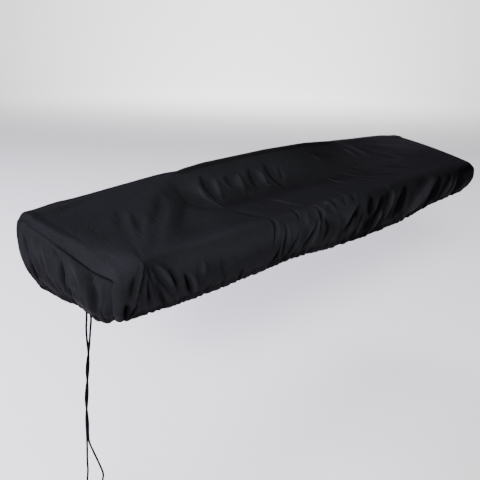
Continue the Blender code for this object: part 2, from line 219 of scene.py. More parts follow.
leftRoll = tableOf(
    "x square fall",
    (-0.150, 3.6, 0.000),
    (-0.118, 3.0, 0.003),
    (-0.085, 2.0, 0.007),
    (-0.045, 1.4, 0.003),
    (0.000, 1.4, 0.001),
    (0.030, 2.4, 0.001),
    (0.120, 3.0, 0.000),
    (0.150, 2.2, 0.000),
)
leftHem = tableOf(
    "x height",
    (0.00, -0.008),
    (0.12, -0.019),
    (0.24, -0.023),
    (0.40, -0.017),
    (0.50, -0.013),
    (0.60, -0.015),
    (0.75, -0.013),
    (1.00, -0.013),
)
rightHem = tableOf(
    "x height",
    (0.00, -0.004),
    (0.20, -0.012),
    (0.42, -0.006),
    (0.62, -0.014),
    (0.85, -0.009),
    (1.00, -0.012),
)


def ease(share):
    share = np.clip(share, 0.0, 1.0)
    return share * share * (3.0 - 2.0 * share)


def ramp(value, start, run):
    return ease((value - start) / run)


def hump(value, middle, width):
    return np.exp(-(((value - middle) / width) ** 2))


def softlyAbove(value, soft):
    # the value above 0 and nothing below it, with a soft bend between
    return 0.5 * (value + np.sqrt(value**2 + soft**2))


def fromSlitEnd(x):
    middle = 0.5 * (slit["left"] + slit["right"])
    half = 0.5 * (slit["right"] - slit["left"])
    return half - np.abs(x - middle)


def slitOpen(x):
    return ease(fromSlitEnd(x) / slit["taper"] + slit["taperStart"])


def slitRise(x):
    # the lips start to rise before the slit's ends
    return ease(fromSlitEnd(x) / slit["riseRun"] + slit["riseStart"])


def bankShare(x, y):
    lean = bank["leftLean"] * (slit["lipY"] - y)
    left = ramp(x + lean - slit["left"], *bank["leftSpan"])
    return left * (1.0 - ramp(x, *bank["rightSpan"]))


def facetFall(x, y):
    beyond = facet["x"] - facet["slant"] * (y + cover["halfDepth"]) - x
    return facet["slope"] * softlyAbove(beyond, facet["soft"])


def topHeight(x, y):
    front = readAt(frontEdge, "height", x)
    back = readAt(backEdge, "height", x)
    across = (y + cover["halfDepth"]) / (2.0 * cover["halfDepth"])
    crown = cover["crown"] * ramp(x, *cover["crownSpan"]) * 4.0 * across * (1.0 - across)
    taut = front + (back - front) * across + crown
    foot = readAt(bankFoot, "y", x)
    climb = np.clip((y - foot) / (slit["lipY"] - slit["lipWidth"] - foot), 0.0, bank["most"])
    climb = (1.0 + bank["soft"]) * climb**2 / (climb + bank["soft"])
    low = np.minimum(front, bank["floor"])
    high = readAt(slitLip, "height", x) - slit["lipRise"]
    sag = low + (high - low) * climb ** bank["power"]
    return taut + (sag - taut) * bankShare(x, y) - facetFall(x, y)


def roundCorner(before, point, after, steps=12):
    share = np.linspace(0.0, 1.0, 2 * steps + 1)[:, None]
    return (1 - share) ** 2 * before + 2 * share * (1 - share) * point + share**2 * after


def spaced(path, share):
    steps = np.linalg.norm(np.diff(path, axis=0), axis=1)
    along = np.concatenate([[0.0], np.cumsum(steps)])
    at = along[-1] * share
    return np.stack([np.interp(at, along, column) for column in path.T], axis=1)


def evenly(count):
    return np.linspace(0.0, 1.0, count + 1)


def denseAtHem(count):
    share = evenly(count)
    return share * (mesh["hemStep"] + (1.0 - mesh["hemStep"]) * share)


frontShare = denseAtHem(mesh["frontRows"])
backShare = denseAtHem(mesh["backRows"])
topShare = 1.0 - denseAtHem(mesh["topRows"])[::-1] ** mesh["crestPower"]


def skirt(edgeY, drawIn, hem, top):
    height = np.linspace(hem, top, mesh["skirtSteps"])
    share = np.clip((cover["bellyHeight"] - height) / (cover["bellyHeight"] - hem), 0.0, 1.0)
    return np.stack([edgeY - np.sign(edgeY) * drawIn * share**2, height], axis=1)


def frontAndTop(x):
    edge = np.array([-cover["halfDepth"], readAt(frontEdge, "height", x)])
    edge[1] -= facetFall(x, -cover["halfDepth"])
    reach = readAt(frontEdge, "rounding", x)
    hem = readAt(frontHem, "height", x)
    face = skirt(-cover["halfDepth"] - cover["faceOut"], cover["frontDrawIn"], hem, edge[1] - reach)
    closed = 1.0 - slitOpen(x)
    lipY = slit["lipY"] + 0.5 * (slit["gap"] - slit["cornerGap"]) * closed
    lipY -= slit["endCrest"] * ramp(abs(x), *slit["endCrestSpan"])
    topY = np.linspace(-cover["halfDepth"] + reach, lipY - slit["lipWidth"], mesh["topSteps"])
    top = np.stack([topY, topHeight(x, topY)], axis=1)
    foot = topHeight(x, lipY - slit["lipFoot"])
    lip = np.array([lipY, foot + slit["lipCurl"] + slit["lipRise"] * slitRise(x)])
    bend = roundCorner(face[-1], edge, top[0])
    half = len(bend) // 2
    return np.vstack([face[:-1], bend[: half + 1]]), np.vstack([bend[half:], top[1:], lip])


def crestAndBack(x, lipY):
    opened = slitOpen(x)
    gap = slit["cornerGap"] + (slit["gap"] - slit["cornerGap"]) * opened
    backY = cover["halfDepth"] + cover["faceOut"]
    edge = np.array([backY, readAt(backEdge, "height", x) - slit["edgeFall"] * slitRise(x)])
    rearLip = np.array([lipY + gap, edge[1] - slit["rearFall"] - slit["rearDip"] * opened])
    reach = cover["backRounding"] + cover["endRounding"] * ramp(abs(x), *cover["endRoundingSpan"])
    before = edge + (rearLip - edge) * min(1.0, reach / np.linalg.norm(rearLip - edge))
    bend = roundCorner(before, edge, edge - np.array([0.0, reach]))
    back = skirt(backY, cover["backDrawIn"], cover["backHemHeight"], bend[-1][1])[::-1]
    half = len(bend) // 2
    return np.vstack([rearLip, bend[: half + 1]]), np.vstack([bend[half:], back[1:]])


def sectionAt(x):
    face, top = frontAndTop(x)
    crest, back = crestAndBack(x, top[-1][0])
    return np.vstack(
        [
            spaced(face, frontShare),
            spaced(top, topShare)[1:],
            spaced(crest, evenly(mesh["crestRows"])),
            spaced(back, 1.0 - backShare[::-1])[1:],
        ]
    )


def endReach(side):
    onTop = np.ones(mesh["topRows"] + 1 + mesh["crestRows"])
    share = np.concatenate([frontShare[:-1], onTop, backShare[::-1]])
    if side > 0:
        return readAt(rightEnd, "reach", share)
    toBack = ease((np.arange(lastRow + 1) - mesh["frontRows"]) / mesh["topRows"])
    return readAt(leftEnd, "reach", share) + roll["leftFlare"] * toBack


def rollInwards(section):
    # the way in from each place on an end's section, level where the skirts are low
    tangent = np.gradient(section, axis=0)
    tangent /= np.linalg.norm(tangent, axis=1, keepdims=True)
    inwards = np.column_stack([tangent[:, 1], -tangent[:, 0]])
    offSkirt = np.full(lastRow + 1, 2.0)
    fromFront, fromBack = offSkirt.copy(), offSkirt.copy()
    fromFront[: mesh["frontRows"] + 1] = frontShare
    fromBack[-mesh["backRows"] - 1 :] = backShare[::-1]
    for share, span, toMiddle in (
        (fromFront, roll["frontLevel"], 1.0),
        (fromBack, roll["backLevel"], -1.0),
    ):
        level = ramp(share, *span)[:, None]
        inwards += level * (np.array([toMiddle, 0.0]) - inwards)
    return inwards / np.linalg.norm(inwards, axis=1, keepdims=True)


def rolledColumns(side):
    radius = roll["radius"]
    flatEnd = cover["halfLength"] - radius
    section = sectionAt(side * flatEnd)
    inwards = rollInwards(section)
    quarter = 0.5 * math.pi
    turn = quarter * radius
    reach = endReach(side) - radius
    drop = np.full(lastRow + 1, radius)
    power = np.full(lastRow + 1, 1.0 if side < 0 else 2.0 / roll["rightSquare"])
    if side < 0:
        # the seam runs straight below the end's edge, which the facet leaves higher
        top = slice(mesh["frontRows"], -mesh["backRows"])
        topY = section[top, 0]
        frontFall = facetFall(-flatEnd, -cover["halfDepth"])
        across = np.clip((topY + cover["halfDepth"]) / (2.0 * cover["halfDepth"]), 0.0, 1.0)
        drop[top] += np.maximum(0.0, frontFall * (1.0 - across) - facetFall(-flatEnd, topY))
        drop[top] += readAt(leftRoll, "fall", topY)
        power[top] = 2.0 / readAt(leftRoll, "square", topY)
    columns = []
    for beyond in np.linspace(0.0, turn + roll["margin"], mesh["rollColumns"] + 1)[1:]:
        angle = min(beyond / radius, quarter - 1e-6)
        out = reach + radius * math.sin(angle) ** power
        depth = drop * (1.0 - math.cos(angle) ** power) + max(0.0, beyond - turn)
        columns.append(np.column_stack([side * out, section + inwards * depth[:, None]]))
    return columns


def mainGrid():
    end = cover["halfLength"] - roll["radius"]
    columns = rolledColumns(-1)[::-1]
    for x in np.linspace(-end, end, mesh["middleColumns"] + 1):
        side = 1 if x > 0 else -1
        spread = ramp(abs(x), cover["bulgeFrom"], end - cover["bulgeFrom"])
        rowX = x + side * spread * (endReach(side) - cover["halfLength"])
        columns.append(np.column_stack([rowX, sectionAt(x)]))
    return cornered(np.array(columns + rolledColumns(1)))


def cornered(points):
    x, y, z = points[..., 0].copy(), points[..., 1].copy(), points[..., 2].copy()
    slantFrom, slantMost = corner["slantSpan"]
    slant = corner["slant"] * np.clip(z - slantFrom, 0.0, slantMost)
    beyond = softlyAbove(corner["turn"] + slant - x, corner["soft"])
    cut = corner["slope"] * beyond * ramp(y, *corner["backSpan"]) * ramp(z, *corner["hemSpan"])
    points += cut[..., None] * np.array(corner["push"])
    bulge = hump(y, *leftRim["middle"]) * ramp(z, *leftRim["aboveSpan"])
    ridge = hump(x, *leftRim["crest"]) - leftRim["dipShare"] * hump(x, *leftRim["dip"])
    points[..., 2] += leftRim["height"] * bulge * ridge
    return points


def facing(points):
    normal = np.cross(np.gradient(points, axis=0), np.gradient(points, axis=1))
    return normal / np.linalg.norm(normal, axis=2, keepdims=True)


def chartOf(points, column, row):
    # distances over the cloth from one column and one row of a grid
    along = np.linalg.norm(np.diff(points, axis=0), axis=2)
    along = np.concatenate([np.zeros((1, points.shape[1])), np.cumsum(along, axis=0)])
    across = np.linalg.norm(np.diff(points, axis=1), axis=2)
    across = np.concatenate([np.zeros((points.shape[0], 1)), np.cumsum(across, axis=1)], axis=1)
    return np.stack([along - along[column], across - across[:, row : row + 1]], axis=2)


def placeOn(points, chart, place):
    nearest = np.argmin(((points - np.array(place)) ** 2).sum(axis=2))
    return chart.reshape(-1, 2)[nearest]


# Creases run from one place on the cloth to another, in heights from the hem's level. depth goes
# inwards and is negative for a ridge, width is half the crease's, bow bends its line aside, lean
# makes one flank wider, and fan widens it towards its end.
creaseColumns = "x1 y1 z1 x2 y2 z2 depth width bow lean fan"
fold = {
    "gain": 1.5,
    "power": 1.35,  # how blunt the groove's bottom is
    "tipWidth": 0.6,
    "shoulder": 0.18,
    "shoulderPlace": (2.5, 1.3),  # in widths of the crease
    "fadeIn": (-0.20, 0.50),
    "fadeOut": (1.30, -0.80),
    "wobble": 0.0016,
    "wobblePitch": (0.03, 0.03),
    "wobbleSeeds": (71, 72),
}


def creaseDepth(points, chart, creases):
    total = np.zeros(points.shape[:2])
    along, across = chart[..., 0], chart[..., 1]
    wobble = [softNoise(along, across, fold["wobblePitch"], seed) for seed in fold["wobbleSeeds"]]
    chart = chart + fold["wobble"] * np.stack(wobble, 2)
    names = creaseColumns.split()
    for x1, y1, z1, x2, y2, z2, depth, width, bow, lean, fan in zip(*(creases[n] for n in names)):
        first = placeOn(points, chart, (x1, y1, z1))
        run = placeOn(points, chart, (x2, y2, z2)) - first
        length = np.linalg.norm(run)
        run /= length
        away = chart - first
        share = (away @ run) / length
        middle = np.clip(share, 0.0, 1.0)
        off = away @ np.array([-run[1], run[0]]) - bow * 4.0 * middle * (1.0 - middle)
        swell = fold["tipWidth"] + (1.0 - fold["tipWidth"]) * np.sin(math.pi * middle)
        spread = width * (1.0 + fan * (2.0 * middle - 1.0)) * swell
        off = np.abs(off) / (spread * (1.0 + lean * np.sign(off)))
        shoulder = fold["shoulder"] * hump(off, *fold["shoulderPlace"])
        fade = ramp(share, *fold["fadeIn"]) * ramp(share, *fold["fadeOut"])
        total += depth * fade * (np.exp(-(off ** fold["power"])) - shoulder)
    return fold["gain"] * total


stray = {  # ranges for guessed creases, where place, top, low and slant are shares of their cloth
    "place": (0.1, 0.9),
    "top": (0.0, 0.35),
    "low": (0.6, 1.0),
    "slant": (-0.03, 0.03),
    "grooves": 0.7,  # the others are ridges
    "ridge": -0.7,
    "bow": (-0.004, 0.004),
    "lean": (-0.3, 0.3),
    "fan": (-0.1, 0.2),
}


def strayCreases(seed, count, first, last, depth, width):
    # spread evenly between two corners, with chance in each
    random = np.random.default_rng(seed)
    first, last = np.array(first), np.array(last)
    rows = []
    for share in (np.arange(count) + random.uniform(*stray["place"], count)) / count:
        top = first + (last - first) * [share, share, random.uniform(*stray["top"])]
        low = first + (last - first) * [share, share, random.uniform(*stray["low"])]
        low[:2] += (last - first)[:2] * random.uniform(*stray["slant"])
        sign = 1.0 if random.uniform() < stray["grooves"] else stray["ridge"]
        shape = [sign * random.uniform(*depth), random.uniform(*width)]
        shape += [random.uniform(*stray[name]) for name in ("bow", "lean", "fan")]
        rows.append([*top, *low, *shape])
    return tableOf(creaseColumns, *rows)


gather = {  # what the puckers of all panels share
    "margin": 0.02,
    "lean": (-0.35, 0.35),
    "bow": (-0.004, 0.004),
    "flare": 0.8,
}


def puckers(along, above, settings):
    # small uneven folds that the drawcord gathers above the hem
    random = np.random.default_rng(settings["seed"])
    total = np.zeros_like(along)
    place = along.min() - gather["margin"]
    while place < along.max() + gather["margin"]:
        place += random.uniform(*settings["spacing"])
        height = random.uniform(*settings["height"])
        depth = random.uniform(*settings["depth"])
        width = random.uniform(*settings["width"])
        lean = random.uniform(*gather["lean"])
        bow = random.uniform(*gather["bow"])
        share = np.clip(above / height, 0.0, 1.0)
        off = along - place - lean * above - bow * np.sin(math.pi * share)
        shape = hump(off, 0.0, width * (1.0 + gather["flare"] * share))
        total += depth * (1.0 - ease(share)) * shape
    return total


noiseGrid = {
    "cells": 512,
    "shift": (200.37, 200.71),  # so that no place falls below 0
}


def softNoise(along, across, pitch, seed):
    random = np.random.default_rng(seed)
    u = along / pitch[0] + noiseGrid["shift"][0]
    v = across / pitch[1] + noiseGrid["shift"][1]
    column, row = np.floor(u).astype(int), np.floor(v).astype(int)
    s, t = ease(u - column), ease(v - row)
    grid = random.uniform(-1.0, 1.0, (noiseGrid["cells"], noiseGrid["cells"]))
    column, row = column % (noiseGrid["cells"] - 1), row % (noiseGrid["cells"] - 1)
    low = grid[column, row] * (1 - s) + grid[column + 1, row] * s
    high = grid[column, row + 1] * (1 - s) + grid[column + 1, row + 1] * s
    return low * (1 - t) + high * t


dent = {
    "bend": 0.010,
    "bendPitch": (0.05, 0.05),
    "finer": 2.1,  # a second layer of dents, this much smaller
    "finerShare": 0.5,
    "sharp": 4.0,
    "lineShare": 0.4,  # how much of a little crease shows between dents
}


def crumple(chart, settings):
    # slack cloth's shallow dents, and sharper little creases where ridges of noise meet
    along, across = chart[..., 0], chart[..., 1]
    seed = settings["seed"]
    finer = [pitch / dent["finer"] for pitch in settings["dents"]]
    bend = dent["bend"] * softNoise(along, across, dent["bendPitch"], seed + 5)
    dents = softNoise(along + bend, across, settings["dents"], seed)
    dents += dent["finerShare"] * softNoise(along, across + bend, finer, seed + 1)
    ridge = softNoise(along + 2 * bend, across - bend, settings["lines"], seed + 2)
    lines = 1.0 - np.minimum(1.0, dent["sharp"] * np.abs(ridge))
    lines *= dent["lineShare"] + (1.0 - dent["lineShare"]) * dents
    return settings["dentDepth"] * dents + settings["lineDepth"] * lines


puff = {
    "bend": 0.014,
    "bendPitch": (0.06, 0.06),
    "layers": ((1.0, 1.0, 0), (0.45, 2.1, 1)),  # height, how much finer, step of the seed
    "top": 0.4,
    "valley": 0.05,
}


def puffs(chart, settings):
    # mounds of slack cloth, with valleys where they meet
    along, across = chart[..., 0], chart[..., 1]
    bend = puff["bend"] * softNoise(along, across, puff["bendPitch"], settings["seed"] + 3)
    along = along + settings["skew"] * across + bend
    total = np.zeros_like(along)
    for share, finer, step in puff["layers"]:
        pitch = [p / finer for p in settings["pitch"]]
        hill = softNoise(along, across + bend, pitch, settings["seed"] + step)
        total += share * (puff["top"] - np.sqrt(hill**2 + puff["valley"] ** 2))
    return settings["depth"] * total


def hemShape(above):
    # the turned hem: a bead round the drawcord, and the groove of the channel's stitching
    bead = hump(above, channel["beadHeight"], channel["beadWidth"])
    groove = hump(above, channel["stitchHeight"], channel["grooveWidth"])
    return channel["grooveDepth"] * groove - channel["bead"] * bead


# Most rows' ends were picked by eye in the photograph and put on the cloth by a helper script,
# whose numbers the first six columns hold. The other columns are set one by one.
mainCreases = tableOf(
    creaseColumns,
    # the star where the front's fold meets the left end
    (-0.621, -0.145, 0.100, -0.640, -0.147, 0.038, -0.0042, 0.0036, -0.0010, 0.0, 0.3),
    (-0.620, -0.148, 0.096, -0.615, -0.145, 0.030, -0.0022, 0.0032, 0.0000, 0.0, 0.3),
    (-0.618, -0.149, 0.092, -0.595, -0.145, 0.026, -0.0036, 0.0034, 0.0000, 0.0, 0.3),
    (-0.612, -0.149, 0.092, -0.560, -0.139, 0.012, -0.0026, 0.0034, 0.0020, 0.0, 0.4),
    (-0.600, -0.147, 0.096, -0.542, -0.147, 0.033, -0.0044, 0.0042, 0.0020, 0.0, 0.4),
    (-0.588, -0.149, 0.055, -0.545, -0.135, 0.002, -0.0025, 0.0040, 0.0000, 0.0, 0.2),
    (-0.612, -0.149, 0.075, -0.604, -0.144, 0.024, 0.0032, 0.0055, 0.0000, 0.3, 0.4),
    (-0.598, -0.149, 0.079, -0.564, -0.137, 0.007, 0.0032, 0.0060, 0.0000, 0.3, 0.4),
    (-0.639, -0.146, 0.083, -0.649, -0.146, 0.039, 0.0024, 0.0080, 0.0000, 0.0, 0.3),
    # the front's left, down to the hem
    (-0.656, -0.146, 0.033, -0.646, -0.133, 0.003, 0.0090, 0.0045),
    (-0.635, -0.145, 0.028, -0.637, -0.133, 0.003, 0.0060, 0.0045),
    (-0.528, -0.149, 0.055, -0.502, -0.139, 0.009, 0.0060, 0.0050, 0.0020, 0.0, 0.2),
    (-0.509, -0.149, 0.047, -0.489, -0.140, 0.011, -0.0035, 0.0050),
    (-0.562, -0.149, 0.071, -0.539, -0.145, 0.026, 0.0045, 0.0050, 0.0020),
    (-0.481, -0.149, 0.066, -0.476, -0.148, 0.039, -0.0025, 0.0060),
    (-0.365, -0.143, 0.020, -0.365, -0.128, -0.010, 0.0050, 0.0035),
    (-0.431, -0.149, 0.056, -0.413, -0.139, 0.011, 0.0020, 0.0090),
    # the front's middle
    (-0.262, -0.132, 0.096, -0.278, -0.149, 0.057, 0.0060, 0.0034, -0.0025, 0.3),
    (-0.237, -0.144, 0.085, -0.240, -0.143, 0.020, 0.0060, 0.0036, -0.0010, 0.3, 0.2),
    (-0.193, -0.149, 0.061, -0.221, -0.141, 0.015, 0.0050, 0.0034, 0.0010, 0.3, 0.1),
    (-0.128, -0.149, 0.072, -0.166, -0.144, 0.024, 0.0090, 0.0046, 0.0020, 0.3, 0.1),
    (-0.116, -0.124, 0.099, -0.113, -0.149, 0.057, 0.0090, 0.0044, 0.0010, 0.2),
    (-0.178, -0.117, 0.100, -0.190, -0.144, 0.085, 0.0045, 0.0032),
    (-0.147, -0.025, 0.099, -0.134, -0.109, 0.099, -0.0022, 0.0032),
    (-0.172, -0.101, 0.099, -0.125, -0.133, 0.096, 0.0026, 0.0028),
    (-0.256, -0.148, 0.042, -0.265, -0.139, 0.010, 0.0040, 0.0040, 0.0015),
    (-0.103, -0.148, 0.076, -0.078, -0.149, 0.046, 0.0024, 0.0050),
    (-0.016, -0.118, 0.099, -0.012, -0.140, 0.092, 0.0022, 0.0034),
    (-0.072, -0.125, 0.099, -0.056, -0.148, 0.075, -0.0020, 0.0060),
    (-0.159, -0.139, 0.092, -0.165, -0.148, 0.072, -0.0024, 0.0080),
    # the front's right
    (-0.041, -0.116, 0.100, -0.053, -0.143, 0.088, 0.0024, 0.0040, 0.0000, 0.3),
    (0.009, -0.110, 0.099, -0.019, -0.143, 0.088, 0.0024, 0.0036, 0.0000, 0.3),
    (0.044, -0.116, 0.099, 0.016, -0.143, 0.088, 0.0022, 0.0036, 0.0000, 0.3),
    (-0.056, -0.116, 0.100, -0.097, -0.143, 0.089, -0.0016, 0.0040),
    (0.100, -0.143, 0.087, 0.084, -0.149, 0.045, 0.0051, 0.0117),
    (0.041, -0.148, 0.075, -0.009, -0.146, 0.029, 0.0063, 0.0084, 0.0020, 0.2, 0.1),
    (0.031, -0.149, 0.062, -0.003, -0.139, 0.002, -0.0024, 0.0045),
    (0.065, -0.149, 0.045, 0.044, -0.136, -0.007, -0.0034, 0.0050),
    (0.100, -0.147, 0.030, 0.078, -0.138, 0.000, 0.0034, 0.0055),
    (0.147, -0.149, 0.048, 0.109, -0.134, -0.012, -0.0053, 0.0084, 0.0020, 0.0, 0.2),
    (0.200, -0.123, 0.096, 0.181, -0.144, 0.085, -0.0024, 0.0030),
    (0.147, -0.147, 0.078, 0.122, -0.148, 0.041, 0.0046, 0.0091, 0.0000, 0.3),
    (0.196, -0.144, 0.085, 0.165, -0.145, 0.023, -0.0051, 0.0091, 0.0030),
    (0.262, -0.146, 0.080, 0.215, -0.145, 0.019, 0.0075, 0.0130, 0.0030, 0.0, 0.1),
    (0.410, -0.147, 0.080, 0.282, -0.140, 0.004, -0.0085, 0.0150, 0.0060, -0.1, 0.1),
    (0.452, -0.147, 0.074, 0.399, -0.137, 0.005, 0.0075, 0.0117, 0.0040),
    (0.532, -0.148, 0.069, 0.468, -0.132, 0.000, -0.0051, 0.0078, 0.0040),
    (0.582, -0.147, 0.071, 0.579, -0.128, -0.005, 0.0057, 0.0143, 0.0030),
    (-0.081, -0.149, 0.053, -0.094, -0.144, 0.020, 0.0024, 0.0060),
    # the taut top on the left
    (-0.596, -0.100, 0.110, -0.617, -0.140, 0.103, 0.0010, 0.0030),
    (-0.506, 0.019, 0.128, -0.548, -0.062, 0.115, 0.0012, 0.0090, 0.0000, 0.2),
    (-0.503, 0.044, 0.132, -0.599, -0.118, 0.107, -0.0009, 0.0080),
    (-0.402, 0.061, 0.139, -0.500, -0.035, 0.120, 0.0016, 0.0150),
    (-0.421, 0.007, 0.126, -0.541, -0.109, 0.109, -0.0012, 0.0150),
    (-0.526, 0.048, 0.132, -0.574, -0.029, 0.120, 0.0008, 0.0090),
    (-0.490, 0.001, 0.126, -0.580, -0.105, 0.109, -0.0014, 0.0090),
    (-0.321, 0.068, 0.113, -0.452, -0.058, 0.108, 0.0016, 0.0120),
    # the bank below the slit, and the sag's floor
    (-0.249, 0.091, 0.145, -0.262, 0.031, 0.112, 0.0036, 0.0115, -0.0030, 0.3),
    (-0.182, 0.080, 0.140, -0.193, 0.050, 0.122, 0.0024, 0.0090, 0.0000, 0.3),
    (-0.098, 0.084, 0.143, -0.124, 0.032, 0.114, 0.0036, 0.0110, -0.0020, 0.3),
    (-0.037, 0.084, 0.144, -0.050, 0.020, 0.110, 0.0040, 0.0115, -0.0030, 0.3),
    (0.004, 0.073, 0.138, -0.034, 0.028, 0.112, 0.0016, 0.0036, -0.0010),
    (-0.280, 0.068, 0.130, -0.285, 0.030, 0.108, -0.0016, 0.0034, 0.0010),
    (-0.285, 0.040, 0.114, -0.271, -0.008, 0.100, -0.0024, 0.0030, -0.0015),
    (-0.098, 0.028, 0.112, -0.053, 0.012, 0.106, -0.0032, 0.0030, 0.0040),
    (-0.222, 0.077, 0.137, -0.249, 0.032, 0.113, -0.0024, 0.0080),
    (-0.142, 0.077, 0.138, -0.173, 0.032, 0.114, -0.0024, 0.0080),
    (-0.071, 0.073, 0.137, -0.089, 0.032, 0.114, -0.0022, 0.0070),
    (-0.271, -0.039, 0.100, -0.262, -0.098, 0.100, 0.0018, 0.0090),
    # the taut slope on the right
    (0.159, 0.085, 0.144, 0.172, 0.056, 0.129, -0.0020, 0.0048),
    (0.160, 0.092, 0.146, 0.275, 0.060, 0.131, 0.0016, 0.0220),
    (0.318, 0.088, 0.140, 0.321, 0.041, 0.124, -0.0020, 0.0080, 0.0000, 0.3),
    (0.350, 0.111, 0.149, 0.368, 0.032, 0.124, -0.0022, 0.0130),
    (0.449, 0.080, 0.137, 0.593, 0.014, 0.121, -0.0020, 0.0060, 0.0020, 0.3),
    (0.424, 0.079, 0.137, 0.545, -0.004, 0.119, 0.0034, 0.0080, -0.0020, 0.3),
    (0.396, 0.054, 0.130, 0.456, -0.037, 0.111, 0.0032, 0.0090, -0.0020, 0.3),
    (0.484, 0.026, 0.124, 0.580, -0.019, 0.115, -0.0016, 0.0040),
    (0.352, -0.002, 0.113, 0.481, -0.053, 0.108, -0.0020, 0.0080, 0.0020),
    (0.175, 0.016, 0.110, 0.259, -0.060, 0.096, -0.0022, 0.0040, -0.0030, 0.2),
    (0.112, -0.002, 0.103, 0.134, -0.059, 0.098, -0.0019, 0.0060, -0.0020, 0.2),
    (0.240, 0.014, 0.110, 0.278, -0.018, 0.102, 0.0016, 0.0050),
    (0.181, -0.027, 0.097, 0.209, -0.111, 0.096, 0.0016, 0.0070),
    (0.268, -0.054, 0.096, 0.356, -0.100, 0.097, 0.0016, 0.0080, 0.0020),
    (0.349, -0.026, 0.106, 0.430, -0.095, 0.099, 0.0014, 0.0080),
)
leftCreases = tableOf(
    creaseColumns,
    (-0.684, 0.114, 0.103, -0.682, 0.106, 0.068, 0.0028, 0.0040),
    (-0.681, 0.101, 0.056, -0.664, 0.099, 0.008, 0.0025, 0.0045),
    (-0.684, 0.064, 0.081, -0.678, 0.049, 0.043, 0.0019, 0.0045),
    (-0.682, 0.030, 0.100, -0.683, 0.007, 0.082, 0.0028, 0.0040),
    (-0.683, 0.002, 0.081, -0.673, 0.001, 0.025, 0.0040, 0.0045, 0.0010, 0.0, 0.2),
    (-0.683, 0.049, 0.077, -0.674, 0.037, 0.029, -0.0015, 0.0080),
    (-0.674, -0.023, 0.100, -0.681, -0.056, 0.057, -0.0025, 0.0130),
    (-0.677, -0.010, 0.038, -0.652, 0.002, -0.013, 0.0025, 0.0050),
    (-0.680, -0.074, 0.094, -0.670, -0.078, 0.004, 0.0026, 0.0120, 0.0020, 0.2),
    (-0.680, -0.056, 0.047, -0.669, -0.063, 0.005, -0.0015, 0.0060),
    (-0.681, -0.099, 0.080, -0.662, -0.102, 0.000, -0.0030, 0.0110),
    (-0.679, -0.103, 0.039, -0.662, -0.091, -0.004, 0.0019, 0.0040),
    (-0.681, -0.134, 0.071, -0.679, -0.121, 0.044, 0.0022, 0.0040),
    (-0.683, 0.088, 0.106, -0.683, 0.067, 0.076, -0.0015, 0.0080),
)
backCreases = strayCreases(
    seed=31,
    count=26,
    first=(-0.62, 0.149, 0.118),
    last=(0.62, 0.149, 0.000),
    depth=(0.003, 0.007),
    width=(0.004, 0.009),
)
rightCreases = strayCreases(
    seed=37,
    count=9,
    first=(0.680, -0.115, 0.086),
    last=(0.680, 0.115, 0.000),
    depth=(0.003, 0.006),
    width=(0.004, 0.009),
)

channel = {
    "beadHeight": 0.0045,  # of the drawcord in the turned hem
    "beadWidth": 0.0040,
    "bead": 0.0016,
    "stitchHeight": 0.018,
    "grooveDepth": 0.0009,
    "grooveWidth": 0.0022,
}
slitHem = {
    "width": 0.009,
    "groove": 0.0014,
    "grooveWidth": 0.0022,
    "bead": 0.0010,
    "beadPlace": (0.003, 0.003),  # from the lip, and how wide
    "endSpan": (0.010, -0.020),
}
mainPuckers = {
    "seed": 11,
    "spacing": (0.010, 0.028),
    "height": (0.018, 0.060),
    "depth": (0.0008, 0.0034),
    "width": (0.0030, 0.0060),
}
endPuckers = {
    "seed": 23,
    "spacing": (0.009, 0.022),
    "height": (0.020, 0.065),
    "depth": (0.0008, 0.0030),
    "width": (0.0030, 0.0055),
}
mainPuffs = {
    "seed": 41,
    "pitch": (0.030, 0.070),
    "skew": 0.35,
    "depth": 0.0042,
}
endPuffs = {
    "seed": 53,
    "pitch": (0.028, 0.065),
    "skew": -0.20,
    "depth": 0.0030,
}
frontSlack = tableOf(
    "x share",
    (-0.660, 0.30),
    (-0.500, 0.35),
    (-0.440, 0.12),
    (-0.300, 0.12),
    (-0.250, 0.55),
    (-0.060, 0.70),
    (0.120, 0.60),
    (0.660, 0.30),
)
mainCrumple = {
    "seed": 5,
    "dents": (0.060, 0.045),
    "dentDepth": 0.0007,
    "lines": (0.030, 0.055),
    "lineDepth": 0.0005,
}
endCrumple = {
    "seed": 9,
    "dents": (0.035, 0.060),
    "dentDepth": 0.0009,
    "lines": (0.018, 0.050),
    "lineDepth": 0.0006,
}

# painted shade along the front skirt, and painted light where it is below 0
frontTone = tableOf(
    "x shade",
    (-0.120, 0.0000),
    (0.000, 0.0015),
    (0.070, 0.0044),
    (0.190, 0.0052),
    (0.260, 0.0024),
    (0.315, -0.0014),
    (0.370, 0.0005),
    (0.460, 0.0032),
    (0.620, 0.0040),
)
